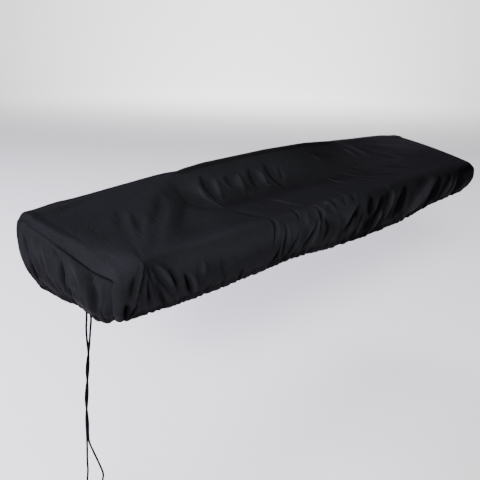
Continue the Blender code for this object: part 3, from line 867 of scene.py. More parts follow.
# Painted light and shade, patch by patch: a strength in metres of a crease's depth, painted shade
# above 0 and painted light below it, the area it lies in, and the ramps and humps that bound it.
mainTones = {
    "rightEnd": (0.0056, "front", (ramp, "x", 0.53, 0.13)),
    "foot": (0.0022, "bank", (hump, "fromFoot", 0.010, 0.030)),
    "rim": (
        -0.0056,
        "all",
        (hump, "fromEdge", -0.015, 0.032),
        (ramp, "x", -0.64, 0.12),
        (ramp, "x", 0.28, -0.20),
    ),
    "bank": (-0.0034, "bank", (ramp, "fromFoot", 0.015, 0.050), (ramp, "x", 0.20, -0.20)),
    "leftBank": (
        -0.0056,
        "top",
        (hump, "beside", 0.0, 0.040),
        (ramp, "before", 0.10, -0.10),
        (ramp, "before", -0.16, 0.16),
    ),
    "rightBack": (-0.0040, "top", (ramp, "x", 0.38, 0.20), (ramp, "y", -0.06, 0.08)),
    "leftTop": (-0.0026, "top", (ramp, "x", -0.20, -0.25)),
    "hem": (0.0024, "all", (ramp, "above", 0.050, -0.050)),
    "rightHem": (0.0028, "front", (ramp, "above", 0.060, -0.040), (ramp, "x", -0.10, 0.20)),
    "backRoll": (0.0040, "top", (ramp, "fromEnd", -0.016, 0.006), (ramp, "y", -0.050, 0.060)),
}
endTones = {
    "seam": (0.0066, "all", (ramp, "share", 0.80, -0.35), (hump, "fromSeam", 0.0, 0.0050)),
    "hem": (0.0040, "all", (ramp, "above", 0.100, -0.100)),
    "back": (0.0020, "all", (ramp, "share", 0.45, 0.35), (ramp, "above", 0.105, -0.060)),
    "rightPanel": (0.0040, "right"),
}
toneOf = {
    "frontGain": 0.8,  # the front's creases get this much more painted shade and painted highlight
    "frontGainSpan": (-0.30, 0.05),
    # how much painted shade and painted highlight the ends' creases get
    "endGain": 0.6,
    "streak": (-0.36, 0.04),  # the left bank's painted light streak
    "streakAim": (0.69, 0.73),
}


def patches(tones, areas, places):
    shade = 0.0
    for strength, area, *bounds in tones.values():
        patch = strength * areas[area]
        for shape, place, middle, width in bounds:
            patch = patch * shape(places[place], middle, width)
        shade = shade + patch
    return shade


foldFade = {
    "skirtSpan": (0.11, -0.05),  # over the hem, where the skirts' slack ends
    "topPuffs": 0.10,
    "topCrumple": 0.45,
    "backSlack": 0.9,
    "seamSpan": (-0.004, -0.020),  # from an end's face, where its seam stills the folds
    "rollSpan": (0.011, -0.008),
    "rollKeeps": 0.30,
    "lipRows": (0.75, 5.0),
    "frontRows": (3, -6.0),
}


def mainFolds(points, chart, aboveFront, aboveBack):
    x, along = points[..., 0], chart[..., 0]
    depth = creaseDepth(points, chart, mainCreases) + creaseDepth(points, chart, backCreases)
    depth += puckers(along, aboveFront, mainPuckers)
    depth += puckers(along, aboveBack, {**mainPuckers, "seed": mainPuckers["seed"] + 1})
    onSkirt = ramp(np.minimum(aboveFront, aboveBack), *foldFade["skirtSpan"])
    front = readAt(frontSlack, "share", x)
    slack = np.where(aboveFront < aboveBack, front, foldFade["backSlack"])
    onTop = foldFade["topPuffs"] + (1.0 - foldFade["topPuffs"]) * onSkirt
    depth += onTop * slack * puffs(chart, mainPuffs)
    onTop = foldFade["topCrumple"] + (1.0 - foldFade["topCrumple"]) * onSkirt
    depth += onTop * crumple(chart, mainCrumple)
    fromEnd = np.abs(x) - cover["halfLength"]
    free = ramp(fromEnd, *foldFade["seamSpan"])
    free = free + (1.0 - free) * foldFade["rollKeeps"] * ramp(fromEnd, *foldFade["rollSpan"])
    fromSlit = np.abs(np.arange(lastRow + 1) - slitRow - 0.5)
    return free * ramp(fromSlit, *foldFade["lipRows"]) * depth


def slitLips(points, across):
    # the turned edge on both sides of the slit
    fromLip = np.abs(across - across[:, slitRow : slitRow + 1])
    fromEnd = np.abs(points[..., 0]) - 0.5 * (slit["right"] - slit["left"])
    turned = hump(fromLip, slitHem["width"], slitHem["grooveWidth"]) * slitHem["groove"]
    turned -= hump(fromLip, *slitHem["beadPlace"]) * slitHem["bead"]
    return ramp(fromEnd, *slitHem["endSpan"]) * turned


def mainShade(points, shift, above, across):
    x, y = points[..., 0], points[..., 1]
    firstRow, run = foldFade["frontRows"]
    front = ramp(np.arange(lastRow + 1), mesh["frontRows"] + firstRow, run)
    areas = {"all": 1.0, "front": front, "top": 1.0 - front}
    areas["bank"] = areas["top"] * bankShare(x, y)
    streakX, streakY = toneOf["streak"]
    aimX, aimY = toneOf["streakAim"]
    places = {
        "x": x,
        "y": y,
        "above": above,
        "fromEdge": across,
        "fromEnd": np.abs(x) - cover["halfLength"],
        "fromFoot": y - readAt(bankFoot, "y", x),
        "beside": aimY * (x - streakX) - aimX * (y - streakY),
        "before": aimX * (x - streakX) + aimY * (y - streakY),
    }
    # painted shade in the creases' grooves and painted highlight on their ridges, bolder on the front
    bold = toneOf["frontGain"] * front * ramp(x, *toneOf["frontGainSpan"])
    shade = shift * (1.0 + bold) + front * readAt(frontTone, "shade", x)
    return shade + patches(mainTones, areas, places)


def creasedMain():
    points = mainGrid()
    chart = chartOf(points, points.shape[0] // 2, mesh["frontRows"])
    across = chart[..., 1]
    aboveFront = across - across[:, :1]
    aboveBack = across[:, -1:] - across
    above = np.minimum(aboveFront, aboveBack)
    shift = mainFolds(points, chart, aboveFront, aboveBack) + slitLips(points, across)
    shift += hemShape(above)
    shade = mainShade(points, shift, above, across)
    return points - shift[..., None] * facing(points), shade, above


endSeam = {
    "under": 0.0030,  # how far the end panel starts under the main panel's rolled edge
    "tuck": 0.0032,
    "backTuck": 0.0016,
    "backRows": (-6, 8.0),
    "bulge": 0.0042,
    # how steeply hem, folds and bulge set in from the front, the back and the seam
    "hemRates": (9, 9),
    "foldRates": (10, 10, 6),
    "bulgeRates": (22, 34, 16),
}


def clearOf(share, front, back):
    return ease(share * front) * ease((1 - share) * back)


def endGrid(main, side):
    edge = main[-1] if side > 0 else main[0]
    inner = main[-2] if side > 0 else main[1]
    onwards = edge - inner
    onwards /= np.linalg.norm(onwards, axis=1, keepdims=True)
    firstRow, run = endSeam["backRows"]
    toBack = ramp(np.arange(lastRow + 1), lastRow - mesh["backRows"] + firstRow, run)[:, None]
    tuck = endSeam["tuck"] + (endSeam["backTuck"] - endSeam["tuck"]) * toBack
    edge = edge - endSeam["under"] * onwards - tuck * np.array([side, 0.0, 0.0])
    rows = denseAtHem(mesh["endRows"])

    def byShare(path, share):
        return np.stack([np.interp(rows, share, column) for column in path.T], axis=1)

    front = byShare(edge[: mesh["frontRows"] + 1], frontShare)
    back = byShare(edge[: -mesh["backRows"] - 2 : -1], backShare)
    top = spaced(edge[mesh["frontRows"] : -mesh["backRows"]], evenly(mesh["endColumns"]))
    across = evenly(mesh["endColumns"])
    hem = front[0] + (back[0] - front[0]) * across[:, None]
    height = readAt(rightHem if side > 0 else leftHem, "height", across)
    hem[:, 2] += (height - hem[:, 2]) * clearOf(across, *endSeam["hemRates"])
    s = across[:, None, None]
    t = rows[None, :, None]
    between = (1 - t) * hem[:, None] + t * top[:, None] + (1 - s) * front[None] + s * back[None]
    low = (1 - s) * front[0] + s * back[0]
    high = (1 - s) * front[-1] + s * back[-1]
    return between - (1 - t) * low - t * high


def creasedEnd(main, side):
    points = endGrid(main, side)
    chart = chartOf(points, points.shape[0] // 2, 0)
    along, above = chart[..., 0], chart[..., 1]
    share = evenly(mesh["endColumns"])[:, None]
    fromSeam = 1 - denseAtHem(mesh["endRows"])[None, :]

    def seeded(settings):
        return {**settings, "seed": settings["seed"] + side}

    depth = creaseDepth(points, chart, rightCreases if side > 0 else leftCreases)
    depth += puckers(along, above, seeded(endPuckers))
    depth += crumple(chart, seeded(endCrumple))
    depth += puffs(chart, seeded(endPuffs))
    *sides, top = endSeam["foldRates"]
    shift = clearOf(share, *sides) * ease(fromSeam * top) * depth + hemShape(above)
    *sides, top = endSeam["bulgeRates"]
    lift = endSeam["bulge"] * clearOf(share, *sides) * ease(fromSeam * top)
    places = {"share": share, "above": above, "fromSeam": chart[:, -1:, 1] - above}
    # painted shade and highlight from the folds, and painted shade at seam, hem, back and right panel
    shade = toneOf["endGain"] * shift + patches(endTones, {"all": 1.0, "right": max(0, side)}, places)
    return points + np.array([side, 0.0, 0.0]) * (lift - shift)[..., None], shade, above


# Shader maths on sockets, so that a material reads as an expression.
class Wire:
    def __init__(self, tree, socket):
        self.tree, self.socket = tree, socket

    def math(self, operation, *others, flip=False):
        values = [self, *others]
        if flip:
            values.reverse()
        return nodeWire(self.tree, "ShaderNodeMath", {"operation": operation}, dict(enumerate(values)))

    def __add__(self, other):
        return self.math("ADD", other)

    def __sub__(self, other):
        return self.math("SUBTRACT", other)

    def __mul__(self, other):
        return self.math("MULTIPLY", other)

    def __truediv__(self, other):
        return self.math("DIVIDE", other)

    def __rsub__(self, other):
        return self.math("SUBTRACT", other, flip=True)

    __radd__ = __add__
    __rmul__ = __mul__

    def sin(self):
        return self.math("SINE")

    def abs(self):
        return self.math("ABSOLUTE")

    def above(self, level):
        return (self - level).math("MAXIMUM", 0.0)

    def below(self, level):
        return (level - self).math("MAXIMUM", 0.0)


def addNode(tree, kind, settings=None, inputs=None):
    # inputs are wires or values, by a socket's name or number
    node = tree.nodes.new(kind)
    for name, value in (settings or {}).items():
        setattr(node, name, value)
    for socket, value in (inputs or {}).items():
        if isinstance(value, Wire):
            tree.links.new(value.socket, node.inputs[socket])
        else:
            node.inputs[socket].default_value = value
    return node


def nodeWire(tree, kind, settings=None, inputs=None, output=0):
    return Wire(tree, addNode(tree, kind, settings, inputs).outputs[output])


class Finish:
    def __init__(self, name, constants):
        self.material = bpy.data.materials.new(name)
        self.material.use_nodes = True
        self.tree = self.material.node_tree
        self.shader = self.tree.nodes["Principled BSDF"]
        for socket, value in constants.items():
            self.shader.inputs[socket].default_value = value

    def wire(self, kind, settings=None, inputs=None, output=0):
        return nodeWire(self.tree, kind, settings, inputs, output)

    def chart(self, name):
        # a piece's own UV map, and the ways across and along it
        chart = self.wire("ShaderNodeUVMap", {"uv_map": name})
        parts = addNode(self.tree, "ShaderNodeSeparateXYZ", {}, {"Vector": chart})
        return chart, Wire(self.tree, parts.outputs[0]), Wire(self.tree, parts.outputs[1])

    def noise(self, vector, scale, detail=2.0, roughness=0.5):
        values = {"Vector": vector, "Scale": scale, "Detail": detail, "Roughness": roughness}
        return self.wire("ShaderNodeTexNoise", {}, values)

    def stretched(self, vector, scale):
        return self.wire("ShaderNodeMapping", {}, {"Vector": vector, "Scale": scale})

    def mix(self, factor, first, second, blend="MIX"):
        colours = [value if isinstance(value, Wire) else (*value, 1.0) for value in (first, second)]
        settings = {"data_type": "RGBA", "blend_type": blend}
        return self.wire("ShaderNodeMix", settings, {0: factor, 6: colours[0], 7: colours[1]}, 2)

    def bump(self, height, distance, strength=1.0, under=None):
        values = {"Height": height, "Distance": distance, "Strength": strength}
        if under is not None:
            values["Normal"] = under
        return self.wire("ShaderNodeBump", {}, values)

    def feed(self, socket, wire):
        self.tree.links.new(wire.socket, self.shader.inputs[socket])


clothLook = {
    "colour": (0.0051, 0.0051, 0.0058),
    "patchAndHighlight": (0.0083, 0.0085, 0.0098),  # painted highlight on ridges and lit patches, and random lighter patches
    "crest": (0.0124, 0.0128, 0.0147),  # painted highlight on the boldest ridges and the most lit patches
    # painted shade in the grooves of creases and in the shaded patches
    "deep": (0.0011, 0.0011, 0.0013),
    "shadeSpan": 0.012,  # the shade that takes the crease attribute from 0 to 1
    "highlightBelow": 0.40,
    "highlightGain": 2.4,
    "deepAbove": 0.60,
    "deepGain": 2.3,
    "tint": (1.12, 0.99, 1.06),  # the faint violet of the right half
    "tintFrom": 0.20,
    "tintLength": 0.20,
    "foldShare": 0.7,  # how much of the lighter colour is painted highlight following the creases
    "patchShare": 0.4,
    "patchScale": 9.0,
    "threadPitch": 0.00045,
    "threadDepth": 0.00004,
    "threadBump": 0.7,
    "crownShare": 0.35,  # of single threads against their crossings
    "slubShare": 0.6,
    "slubStretch": (900.0, 60.0, 1.0),
    "wrinkleScale": 70.0,
    "wrinkleStretch": (1.0, 0.45, 1.0),
    "wrinkleSharp": 5.0,
    "wrinkleDepth": 0.0016,
    "wrinkleBump": 0.55,
    "broadScale": 14.0,
    "roughness": 0.42,
    "patchRoughness": 0.14,
    "weaveRoughness": 0.05,
}


def clothFinish():
    constants = {"Metallic": 0.0, "IOR": 1.4, "Specular IOR Level": 0.009}
    finish = Finish("wovenNylon", constants)
    chart, u, v = finish.chart("cloth")
    crease = finish.wire("ShaderNodeAttribute", {"attribute_name": "crease"}, {}, 2)

    turns = math.pi / clothLook["threadPitch"]
    warp, weft = (u * turns).sin(), (v * turns).sin()
    weave = warp * weft + clothLook["crownShare"] * (warp.abs() + weft.abs())
    slubs = finish.noise(finish.stretched(chart, clothLook["slubStretch"]), 1.0, 1.0)
    yarn = weave + clothLook["slubShare"] * slubs
    threads = finish.bump(yarn, clothLook["threadDepth"], clothLook["threadBump"])

    stretched = finish.stretched(chart, clothLook["wrinkleStretch"])
    slack = finish.noise(stretched, clothLook["wrinkleScale"], 3.0, 0.55)
    ridges = 1.0 - (slack - 0.5).abs() * clothLook["wrinkleSharp"]
    wrinkles = ridges * finish.noise(chart, clothLook["broadScale"]) + slack
    normal = finish.bump(wrinkles, clothLook["wrinkleDepth"], clothLook["wrinkleBump"], threads)

    patchy = finish.noise(chart, clothLook["patchScale"], 4.0, 0.6)
    # painted highlight on crease ridges and lit patches, random lighter patches, painted shade in
    # grooves
    patchAndHighlightShare = clothLook["foldShare"] * (1.0 - crease) + clothLook["patchShare"] * patchy
    ridge = crease.below(clothLook["highlightBelow"]) * clothLook["highlightGain"]
    groove = crease.above(clothLook["deepAbove"]) * clothLook["deepGain"]
    cloth = finish.mix(patchAndHighlightShare, clothLook["colour"], clothLook["patchAndHighlight"])
    lightened = finish.mix(ridge, cloth, clothLook["crest"])
    # the right half turns a faint violet
    violet = (u - clothLook["tintFrom"]) / clothLook["tintLength"]
    tinted = finish.mix(violet, lightened, clothLook["tint"], "MULTIPLY")
    finish.feed("Base Color", finish.mix(groove, tinted, clothLook["deep"]))
    uneven = clothLook["patchRoughness"] * patchy + clothLook["weaveRoughness"] * weave.abs()
    finish.feed("Roughness", clothLook["roughness"] + uneven)
    finish.feed("Normal", normal)
    return finish.material


cordLook = {
    "colour": (0.0015, 0.0015, 0.0017),
    "lightened": (0.0055, 0.0055, 0.0060),
    "nap": 0.0004,  # loose fibres beyond the braid's diameter
    "strands": 8.0,
    "pitch": 0.0046,
    "relief": 0.00012,
    "evenCrossing": 1.27,  # of two strands on average, so that the relief adds nothing
    "wear": 0.4,
    "fibreShare": 0.5,
    "fibreStretch": (40.0, 2600.0, 1.0),
    "fibreDepth": 0.0002,
}


def cordFinish():
    finish = Finish("braidedCord", {"Metallic": 0.0, "Roughness": 0.8, "Specular IOR Level": 0.0})
    chart, around, along = finish.chart("cord")
    turns = around * (math.pi * cordLook["strands"])
    steps = along * (2.0 * math.pi / cordLook["pitch"])
    braid = (turns + steps).sin().abs() + (turns - steps).sin().abs()
    fibres = finish.noise(finish.stretched(chart, cordLook["fibreStretch"]), 1.0, 2.0)
    rough = braid + cordLook["fibreShare"] * fibres
    finish.feed("Normal", finish.bump(rough, cordLook["fibreDepth"], 0.8))
    wear = braid * cordLook["wear"] * fibres
    finish.feed("Base Color", finish.mix(wear, cordLook["colour"], cordLook["lightened"]))
    return finish.material


threadLook = {
    "colour": (0.002, 0.002, 0.003),
    "lightened": (0.008, 0.008, 0.009),
    "twistScale": 4000.0,
    "twistDepth": 0.0001,
}


def threadFinish():
    finish = Finish("sewingThread", {"Metallic": 0.0, "Roughness": 0.6, "Specular IOR Level": 0.05})
    place = finish.wire("ShaderNodeTexCoord", output=3)
    twist = finish.noise(place, threadLook["twistScale"], 1.0)
    finish.feed("Base Color", finish.mix(twist, threadLook["colour"], threadLook["lightened"]))
    finish.feed("Normal", finish.bump(twist, threadLook["twistDepth"], 0.6))
    return finish.material


def inScene(name, data):
    thing = bpy.data.objects.new(name, data)
    bpy.context.scene.collection.objects.link(thing)
    return thing


def addPiece(name, data, material):
    data.materials.append(material)
    return inScene(name, data)


sheetWall = {
    "thin": 0.0009,
    "hem": 0.0021,
    "hemHeight": 0.018,
}


def clothPiece(name, points, shade, above, material, openFace=None, turned=False):
    columns, rows = points.shape[:2]
    chart = chartOf(points, columns // 2, rows // 2)
    place = points + np.array([0.0, 0.0, cover["hemLevel"]])
    index = np.arange(columns * rows).reshape(columns, rows)
    faces = np.stack([index[:-1, :-1], index[1:, :-1], index[1:, 1:], index[:-1, 1:]], axis=2)
    keep = np.ones(faces.shape[:2], bool) if openFace is None else ~openFace
    faces = faces[keep]
    if turned:
        faces = faces[:, ::-1]
    data = bpy.data.meshes.new(name)
    data.from_pydata(place.reshape(-1, 3).tolist(), [], faces.tolist())
    data.shade_smooth()
    layer = data.uv_layers.new(name="cloth")
    corners = np.empty(len(data.loops), np.int32)
    data.loops.foreach_get("vertex_index", corners)
    layer.data.foreach_set("uv", chart.reshape(-1, 2)[corners].astype(np.float32).ravel())
    # the painted light and shade, as the value the cloth's colour reads
    crease = data.attributes.new("crease", "FLOAT", "POINT")
    values = np.clip(0.5 + shade / clothLook["shadeSpan"], 0.0, 1.0)
    crease.data.foreach_set("value", values.astype(np.float32).ravel())
    piece = addPiece(name, data, material)
    hem = piece.vertex_groups.new(name="hem")
    thick = sheetWall["thin"] / sheetWall["hem"]
    weights = np.where(above < sheetWall["hemHeight"], 1.0, thick).ravel()
    for weight in (thick, 1.0):
        hem.add(np.nonzero(weights == weight)[0].tolist(), weight, "REPLACE")
    wall = piece.modifiers.new("Cloth", "SOLIDIFY")
    wall.thickness = sheetWall["hem"]
    wall.offset = -1.0
    wall.vertex_group = "hem"
    wall.use_quality_normals = True
    return piece


print("materials")
nylon = clothFinish()
braid = cordFinish()
thread = threadFinish()

print("main panel")
mainPoints, mainShades, mainAbove = creasedMain()
slitX = 0.5 * (mainPoints[1:, slitRow, 0] + mainPoints[:-1, slitRow, 0])
openFace = np.zeros((mainPoints.shape[0] - 1, lastRow), bool)
openFace[:, slitRow] = (slitX > slit["left"]) & (slitX < slit["right"])
mainCloth = clothPiece("mainCloth", mainPoints, mainShades, mainAbove, nylon, openFace)

print("end panels")
endCloths = []
for side, word in ((-1, "left"), (1, "right")):
    points, shade, above = creasedEnd(mainGrid(), side)
    endCloths.append(clothPiece("endCloth_" + word, points, shade, above, nylon, None, side < 0))

cords = {
    "x": -0.6493,
    "diameter": 0.003,
    "points": 64,
    "rings": 700,
    "sides": 16,
    "knotLength": 0.011,
    "gap": 0.0006,
}
# The rows follow both cords in the photograph, by places that a helper script worked out.
cordPair = tableOf(
    "height middle apart turn",
    (-0.012, -0.0259, 0.0065, 0.00),
    (-0.032, -0.0252, 0.0066, 0.00),
    (-0.054, -0.0217, 0.0062, 0.00),
    (-0.076, -0.0200, 0.0042, 0.00),
    (-0.098, -0.0187, 0.0022, 0.05),
    (-0.120, -0.0156, 0.0019, 0.22),
    (-0.143, -0.0121, 0.0019, 0.42),
    (-0.167, -0.0095, 0.0019, 0.62),
    (-0.191, -0.0063, 0.0019, 0.80),
    (-0.215, -0.0031, 0.0019, 0.98),
    (-0.239, -0.0019, 0.0019, 1.16),
    (-0.261, -0.0016, 0.0019, 1.32),
    (-0.284, -0.0007, 0.0020, 1.46),
    (-0.303, -0.0011, 0.0036, 1.50),
    (-0.321, -0.0078, 0.0110, 1.50),
    (-0.339, -0.0152, 0.0200, 1.50),
    (-0.356, -0.0204, 0.0258, 1.50),
    (-0.376, -0.0186, 0.0238, 1.50),
    (-0.402, -0.0156, 0.0250, 1.50),
    (-0.425, -0.0152, 0.0256, 1.50),
    (-0.440, -0.0152, 0.0256, 1.50),
)


def smoothPath(rows, count):
    # a curve through the rows, in count even steps
    padded = np.vstack([2 * rows[0] - rows[1], rows, 2 * rows[-1] - rows[-2]])
    fine = []
    for a, b, c, d in zip(padded, padded[1:], padded[2:], padded[3:]):
        for share in np.arange(0.0, 1.0, 0.1):
            fine.append(
                b
                + 0.5 * share * (c - a)
                + share**2 * (a - 2.5 * b + 2 * c - 0.5 * d)
                + share**3 * (1.5 * (b - c) + 0.5 * (d - a))
            )
    return spaced(np.array(fine + [rows[-1]]), evenly(count))


def cordRows(side):
    turn = 2.0 * math.pi * cordPair["turn"]
    return np.stack(
        [
            cords["x"] + side * cordPair["apart"] * np.sin(turn),
            cordPair["middle"] + side * cordPair["apart"] * np.cos(turn),
            cordPair["height"] + cover["hemLevel"],
        ],
        axis=1,
    )


def tube(path, radius, sides):
    # a braided tube round a path, with the way along it and the turn round it at each point
    count = len(path)
    tangent = np.gradient(path, axis=0)
    tangent /= np.linalg.norm(tangent, axis=1, keepdims=True)
    normal = np.cross(tangent[0], [0.0, 1.0, 0.3])
    normals = []
    for direction in tangent:
        normal = normal - direction * (normal @ direction)
        normal /= np.linalg.norm(normal)
        normals.append(normal)
    normals = np.array(normals)
    side = np.cross(tangent, normals)
    steps = np.linalg.norm(np.diff(path, axis=0), axis=1)
    along = np.concatenate([[0.0], np.cumsum(steps)])
    turn = np.arange(sides) / sides
    reach = np.reshape(radius, (-1, 1)) + braidRelief(turn[None, :], along[:, None])
    angle = 2.0 * math.pi * turn[None, :, None]
    ring = normals[:, None] * np.cos(angle) + side[:, None] * np.sin(angle)
    points = path[:, None] + ring * reach[..., None]
    index = np.arange(count * sides).reshape(count, sides)
    after = np.roll(index, -1, axis=1)
    faces = np.stack([index[:-1], after[:-1], after[1:], index[1:]], axis=2).reshape(-1, 4).tolist()
    faces += [index[0, ::-1].tolist(), index[-1].tolist()]
    return points.reshape(-1, 3), faces, np.repeat(along, sides), np.tile(turn, count)


def tubeMesh(name, tubes):
    points, faces, charts = [], [], []
    for place, face, along, turn in tubes:
        start = len(points)
        points += place.tolist()
        for corners in face:
            faces.append([start + corner for corner in corners])
            wraps = len(corners) == 4 and max(turn[corners]) - min(turn[corners]) > 0.5
            for corner in corners:
                around = turn[corner] + (1.0 if wraps and turn[corner] < 0.5 else 0.0)
                charts += [around, along[corner]]
    data = bpy.data.meshes.new(name)
    data.from_pydata(points, [], faces)
    data.shade_smooth()
    data.uv_layers.new(name="cord").data.foreach_set("uv", charts)
    return data


def braidRelief(turn, along):
    steps = 2.0 * math.pi * along / cordLook["pitch"]
    turns = math.pi * cordLook["strands"] * turn
    crossings = np.abs(np.sin(turns + steps)) + np.abs(np.sin(turns - steps))
    return cordLook["relief"] * (crossings - cordLook["evenCrossing"])


def cordPiece(name, route):
    path = spaced(route, evenly(cords["rings"]))
    radius = 0.5 * cords["diameter"] + cordLook["nap"]
    return addPiece(name, tubeMesh(name, [tube(path, radius, cords["sides"])]), braid)


knotShape = {
    "spread": 0.00098,
    "height": 0.00175,
    "radius": 0.00138,
    "rings": 120,
    "tailStart": (0.0003, 0.0, -0.0030),
    "tailRun": (0.0008, 0.0005, -0.0085),
    "tailRadius": 0.0014,
    "tailRings": 24,
    "sides": 14,
}


def knotPiece(name, tip):
    # an overhand knot drawn tight, with the cord's melted end below it
    share = np.linspace(0.0, 2.0 * math.pi, knotShape["rings"])
    loop = np.stack(
        [
            np.sin(share) + 2.0 * np.sin(2.0 * share),
            np.cos(share) - 2.0 * np.cos(2.0 * share),
            -2.1 * np.sin(3.0 * share),
        ],
        axis=1,
    )
    spread = knotShape["spread"]
    middle = tip - np.array([0.0, 0.0, 0.5 * cords["knotLength"] + cords["gap"]])
    loop = middle + loop * np.array([spread, spread, knotShape["height"]])
    down = np.linspace(0.0, 1.0, knotShape["tailRings"])[:, None]
    tail = middle + np.array(knotShape["tailStart"]) + down * np.array(knotShape["tailRun"])
    thin = knotShape["tailRadius"] * np.sqrt(np.clip(1.0 - down[:, 0] ** 6, 0.04, 1.0))
    sides = knotShape["sides"]
    tubes = [tube(loop, knotShape["radius"], sides), tube(tail, thin, sides)]
    return addPiece(name, tubeMesh(name, tubes), braid)


print("cords")
cordPieces = []
for letter, side in (("a", 1.0), ("b", -1.0)):
    route = smoothPath(cordRows(side), cords["points"] - 1)
    cord = cordPiece("cord_" + letter, route)
    knot = knotPiece("cordKnot_" + letter, route[-1])
    cordPieces.append((letter, cord, knot, route))

stitchRow = {  # the stitch tree's inputs
    "Pitch": 0.0036,
    "Length": 0.0027,
    "Thread": 0.00025,
    "Seed": 3,
}
stitchForm = {
    "lift": 0.00015,  # of a stitch's middle off the cloth
    "least": 0.85,  # of its size, at random
    "most": 1.1,
    "segments": 6,
    "rings": 4,
}


def stitchTree():
    tree = bpy.data.node_groups.new("stitchRow", "GeometryNodeTree")
    kinds = {"Path": "Geometry", **dict.fromkeys(stitchRow, "Float"), "Seed": "Int"}
    for name, kind in kinds.items():
        tree.interface.new_socket(name, in_out="INPUT", socket_type="NodeSocket" + kind)
    tree.interface.new_socket("Stitches", in_out="OUTPUT", socket_type="NodeSocketGeometry")
    start = addNode(tree, "NodeGroupInput")
    path, pitch, length, width, seed = (Wire(tree, start.outputs[name]) for name in kinds)
    curve = nodeWire(tree, "GeometryNodeMeshToCurve", {}, {0: path})
    sockets = {"Curve": curve, "Length": pitch}
    dots = addNode(tree, "GeometryNodeCurveToPoints", {"mode": "LENGTH"}, sockets)
    places, tangent = (Wire(tree, dots.outputs[name]) for name in ("Points", "Tangent"))
    sockets = {"Segments": stitchForm["segments"], "Rings": stitchForm["rings"], "Radius": 1.0}
    bead = nodeWire(tree, "GeometryNodeMeshUVSphere", {}, sockets)
    turn = nodeWire(tree, "FunctionNodeAlignRotationToVector", {"axis": "X"}, {"Vector": tangent})
    size = nodeWire(tree, "ShaderNodeCombineXYZ", {}, {"X": length * 0.5, "Y": width, "Z": width})
    sockets = {2: stitchForm["least"], 3: stitchForm["most"], "Seed": seed}
    jitter = nodeWire(tree, "FunctionNodeRandomValue", {"data_type": "FLOAT"}, sockets, 1)
    scale = nodeWire(tree, "ShaderNodeVectorMath", {"operation": "SCALE"}, {0: size, "Scale": jitter})
    sockets = {"Points": places, "Instance": bead, "Rotation": turn, "Scale": scale}
    made = nodeWire(tree, "GeometryNodeInstanceOnPoints", {}, sockets)
    for kind in ("GeometryNodeRealizeInstances", "GeometryNodeSetShadeSmooth"):
        made = nodeWire(tree, kind, {}, {0: made})
    made = nodeWire(tree, "GeometryNodeSetMaterial", {}, {0: made, "Material": thread})
    addNode(tree, "NodeGroupOutput", {}, {0: made})
    return tree


def stitchedPaths():
    # along both skirts' hems, and in front of and behind the slit
    raised = mainPoints + stitchForm["lift"] * facing(mainPoints)
    raised = raised + np.array([0.0, 0.0, cover["hemLevel"]])
    column = np.arange(len(raised))
    lines = []
    for first, last in ((0, mesh["frontRows"]), (lastRow - mesh["backRows"], lastRow)):
        off = np.abs(mainAbove[:, first:last] - channel["stitchHeight"])
        lines.append(raised[column, first + np.argmin(off, axis=1)])
    slitX = mainPoints[:, slitRow, 0]
    inside = (slitX > slit["left"]) & (slitX < slit["right"])
    return lines + [raised[inside, slitRow - 2], raised[inside, slitRow + 2]]


def stitches(name, lines):
    points, edges = [], []
    for line in lines:
        edges += [(len(points) + i, len(points) + i + 1) for i in range(len(line) - 1)]
        points += line.tolist()
    data = bpy.data.meshes.new(name + "Path")
    data.from_pydata(points, edges, [])
    path = inScene(name + "Path", data)
    rows = path.modifiers.new("Stitches", "NODES")
    rows.node_group = stitchTree()
    for item in rows.node_group.interface.items_tree:
        if item.in_out == "INPUT" and item.name in stitchRow:
            rows[item.identifier] = stitchRow[item.name]
    graph = bpy.context.evaluated_depsgraph_get()
    made = bpy.data.meshes.new_from_object(path.evaluated_get(graph), depsgraph=graph)
    bpy.data.objects.remove(path)
    return inScene(name, made)


print("stitches")
seamStitches = stitches("seamStitches", stitchedPaths())

print("floor, light and camera")
studio = {
    "floorHeight": -0.60,
    "floorColour": (0.90, 0.90, 0.90, 1.0),
    "floorRings": (0.5, 2.0, 5.0),
    "floorRim": 8.0,  # where the floor starts to curve up
    "floorCurve": 4.0,
    "floorTurn": 0.30,  # how far it curves, as a share of half a turn
    "roomAim": (-0.80, 0.0, 0.55),  # the room's light side
    "roomRange": (-0.7, 0.9, 0.02, 0.25),
    "cameraPlace": (-1.2853, -0.9559, 0.3985),
    "cameraTurn": -0.8410,
    "cameraRise": 0.3265,
    "cameraRoll": 0.02618,
    "focalPixels": 667.04,
    "picturePixels": 480.0,
    "sensorWidth": 36.0,
}
lamps = (  # name, place, aim, size, power, colour
    ("leftWindow", (-3.2, 2.7, 2.0), (-0.4, 0, 0), (2.0, 1.2), 520.0, (0.81, 0.76, 1.0)),
    ("frontKey", (-4.6, -2.6, 2.4), (0, 0, 0), (1.8, 1.2), 640.0, (1.0, 1.0, 1.0)),
    ("overhead", (2.6, 1.2, 4.6), (0.8, 0, 0), (3.0, 2.0), 140.0, (1.0, 1.0, 1.0)),
    ("backdrop", (5.0, 4.6, 3.0), (8.0, 7.4, -0.6), (4.0, 3.0), 620.0, (1.0, 1.0, 1.0)),
)


def softBox(name, place, aim, size, power, colour):
    lamp = bpy.data.lights.new(name, "AREA")
    lamp.shape = "RECTANGLE"
    lamp.size, lamp.size_y = size
    lamp.energy = power
    lamp.color = colour
    box = inScene(name, lamp)
    box.location = place
    box.rotation_mode = "QUATERNION"
    box.rotation_quaternion = (Vector(aim) - Vector(place)).to_track_quat("-Z", "Y")


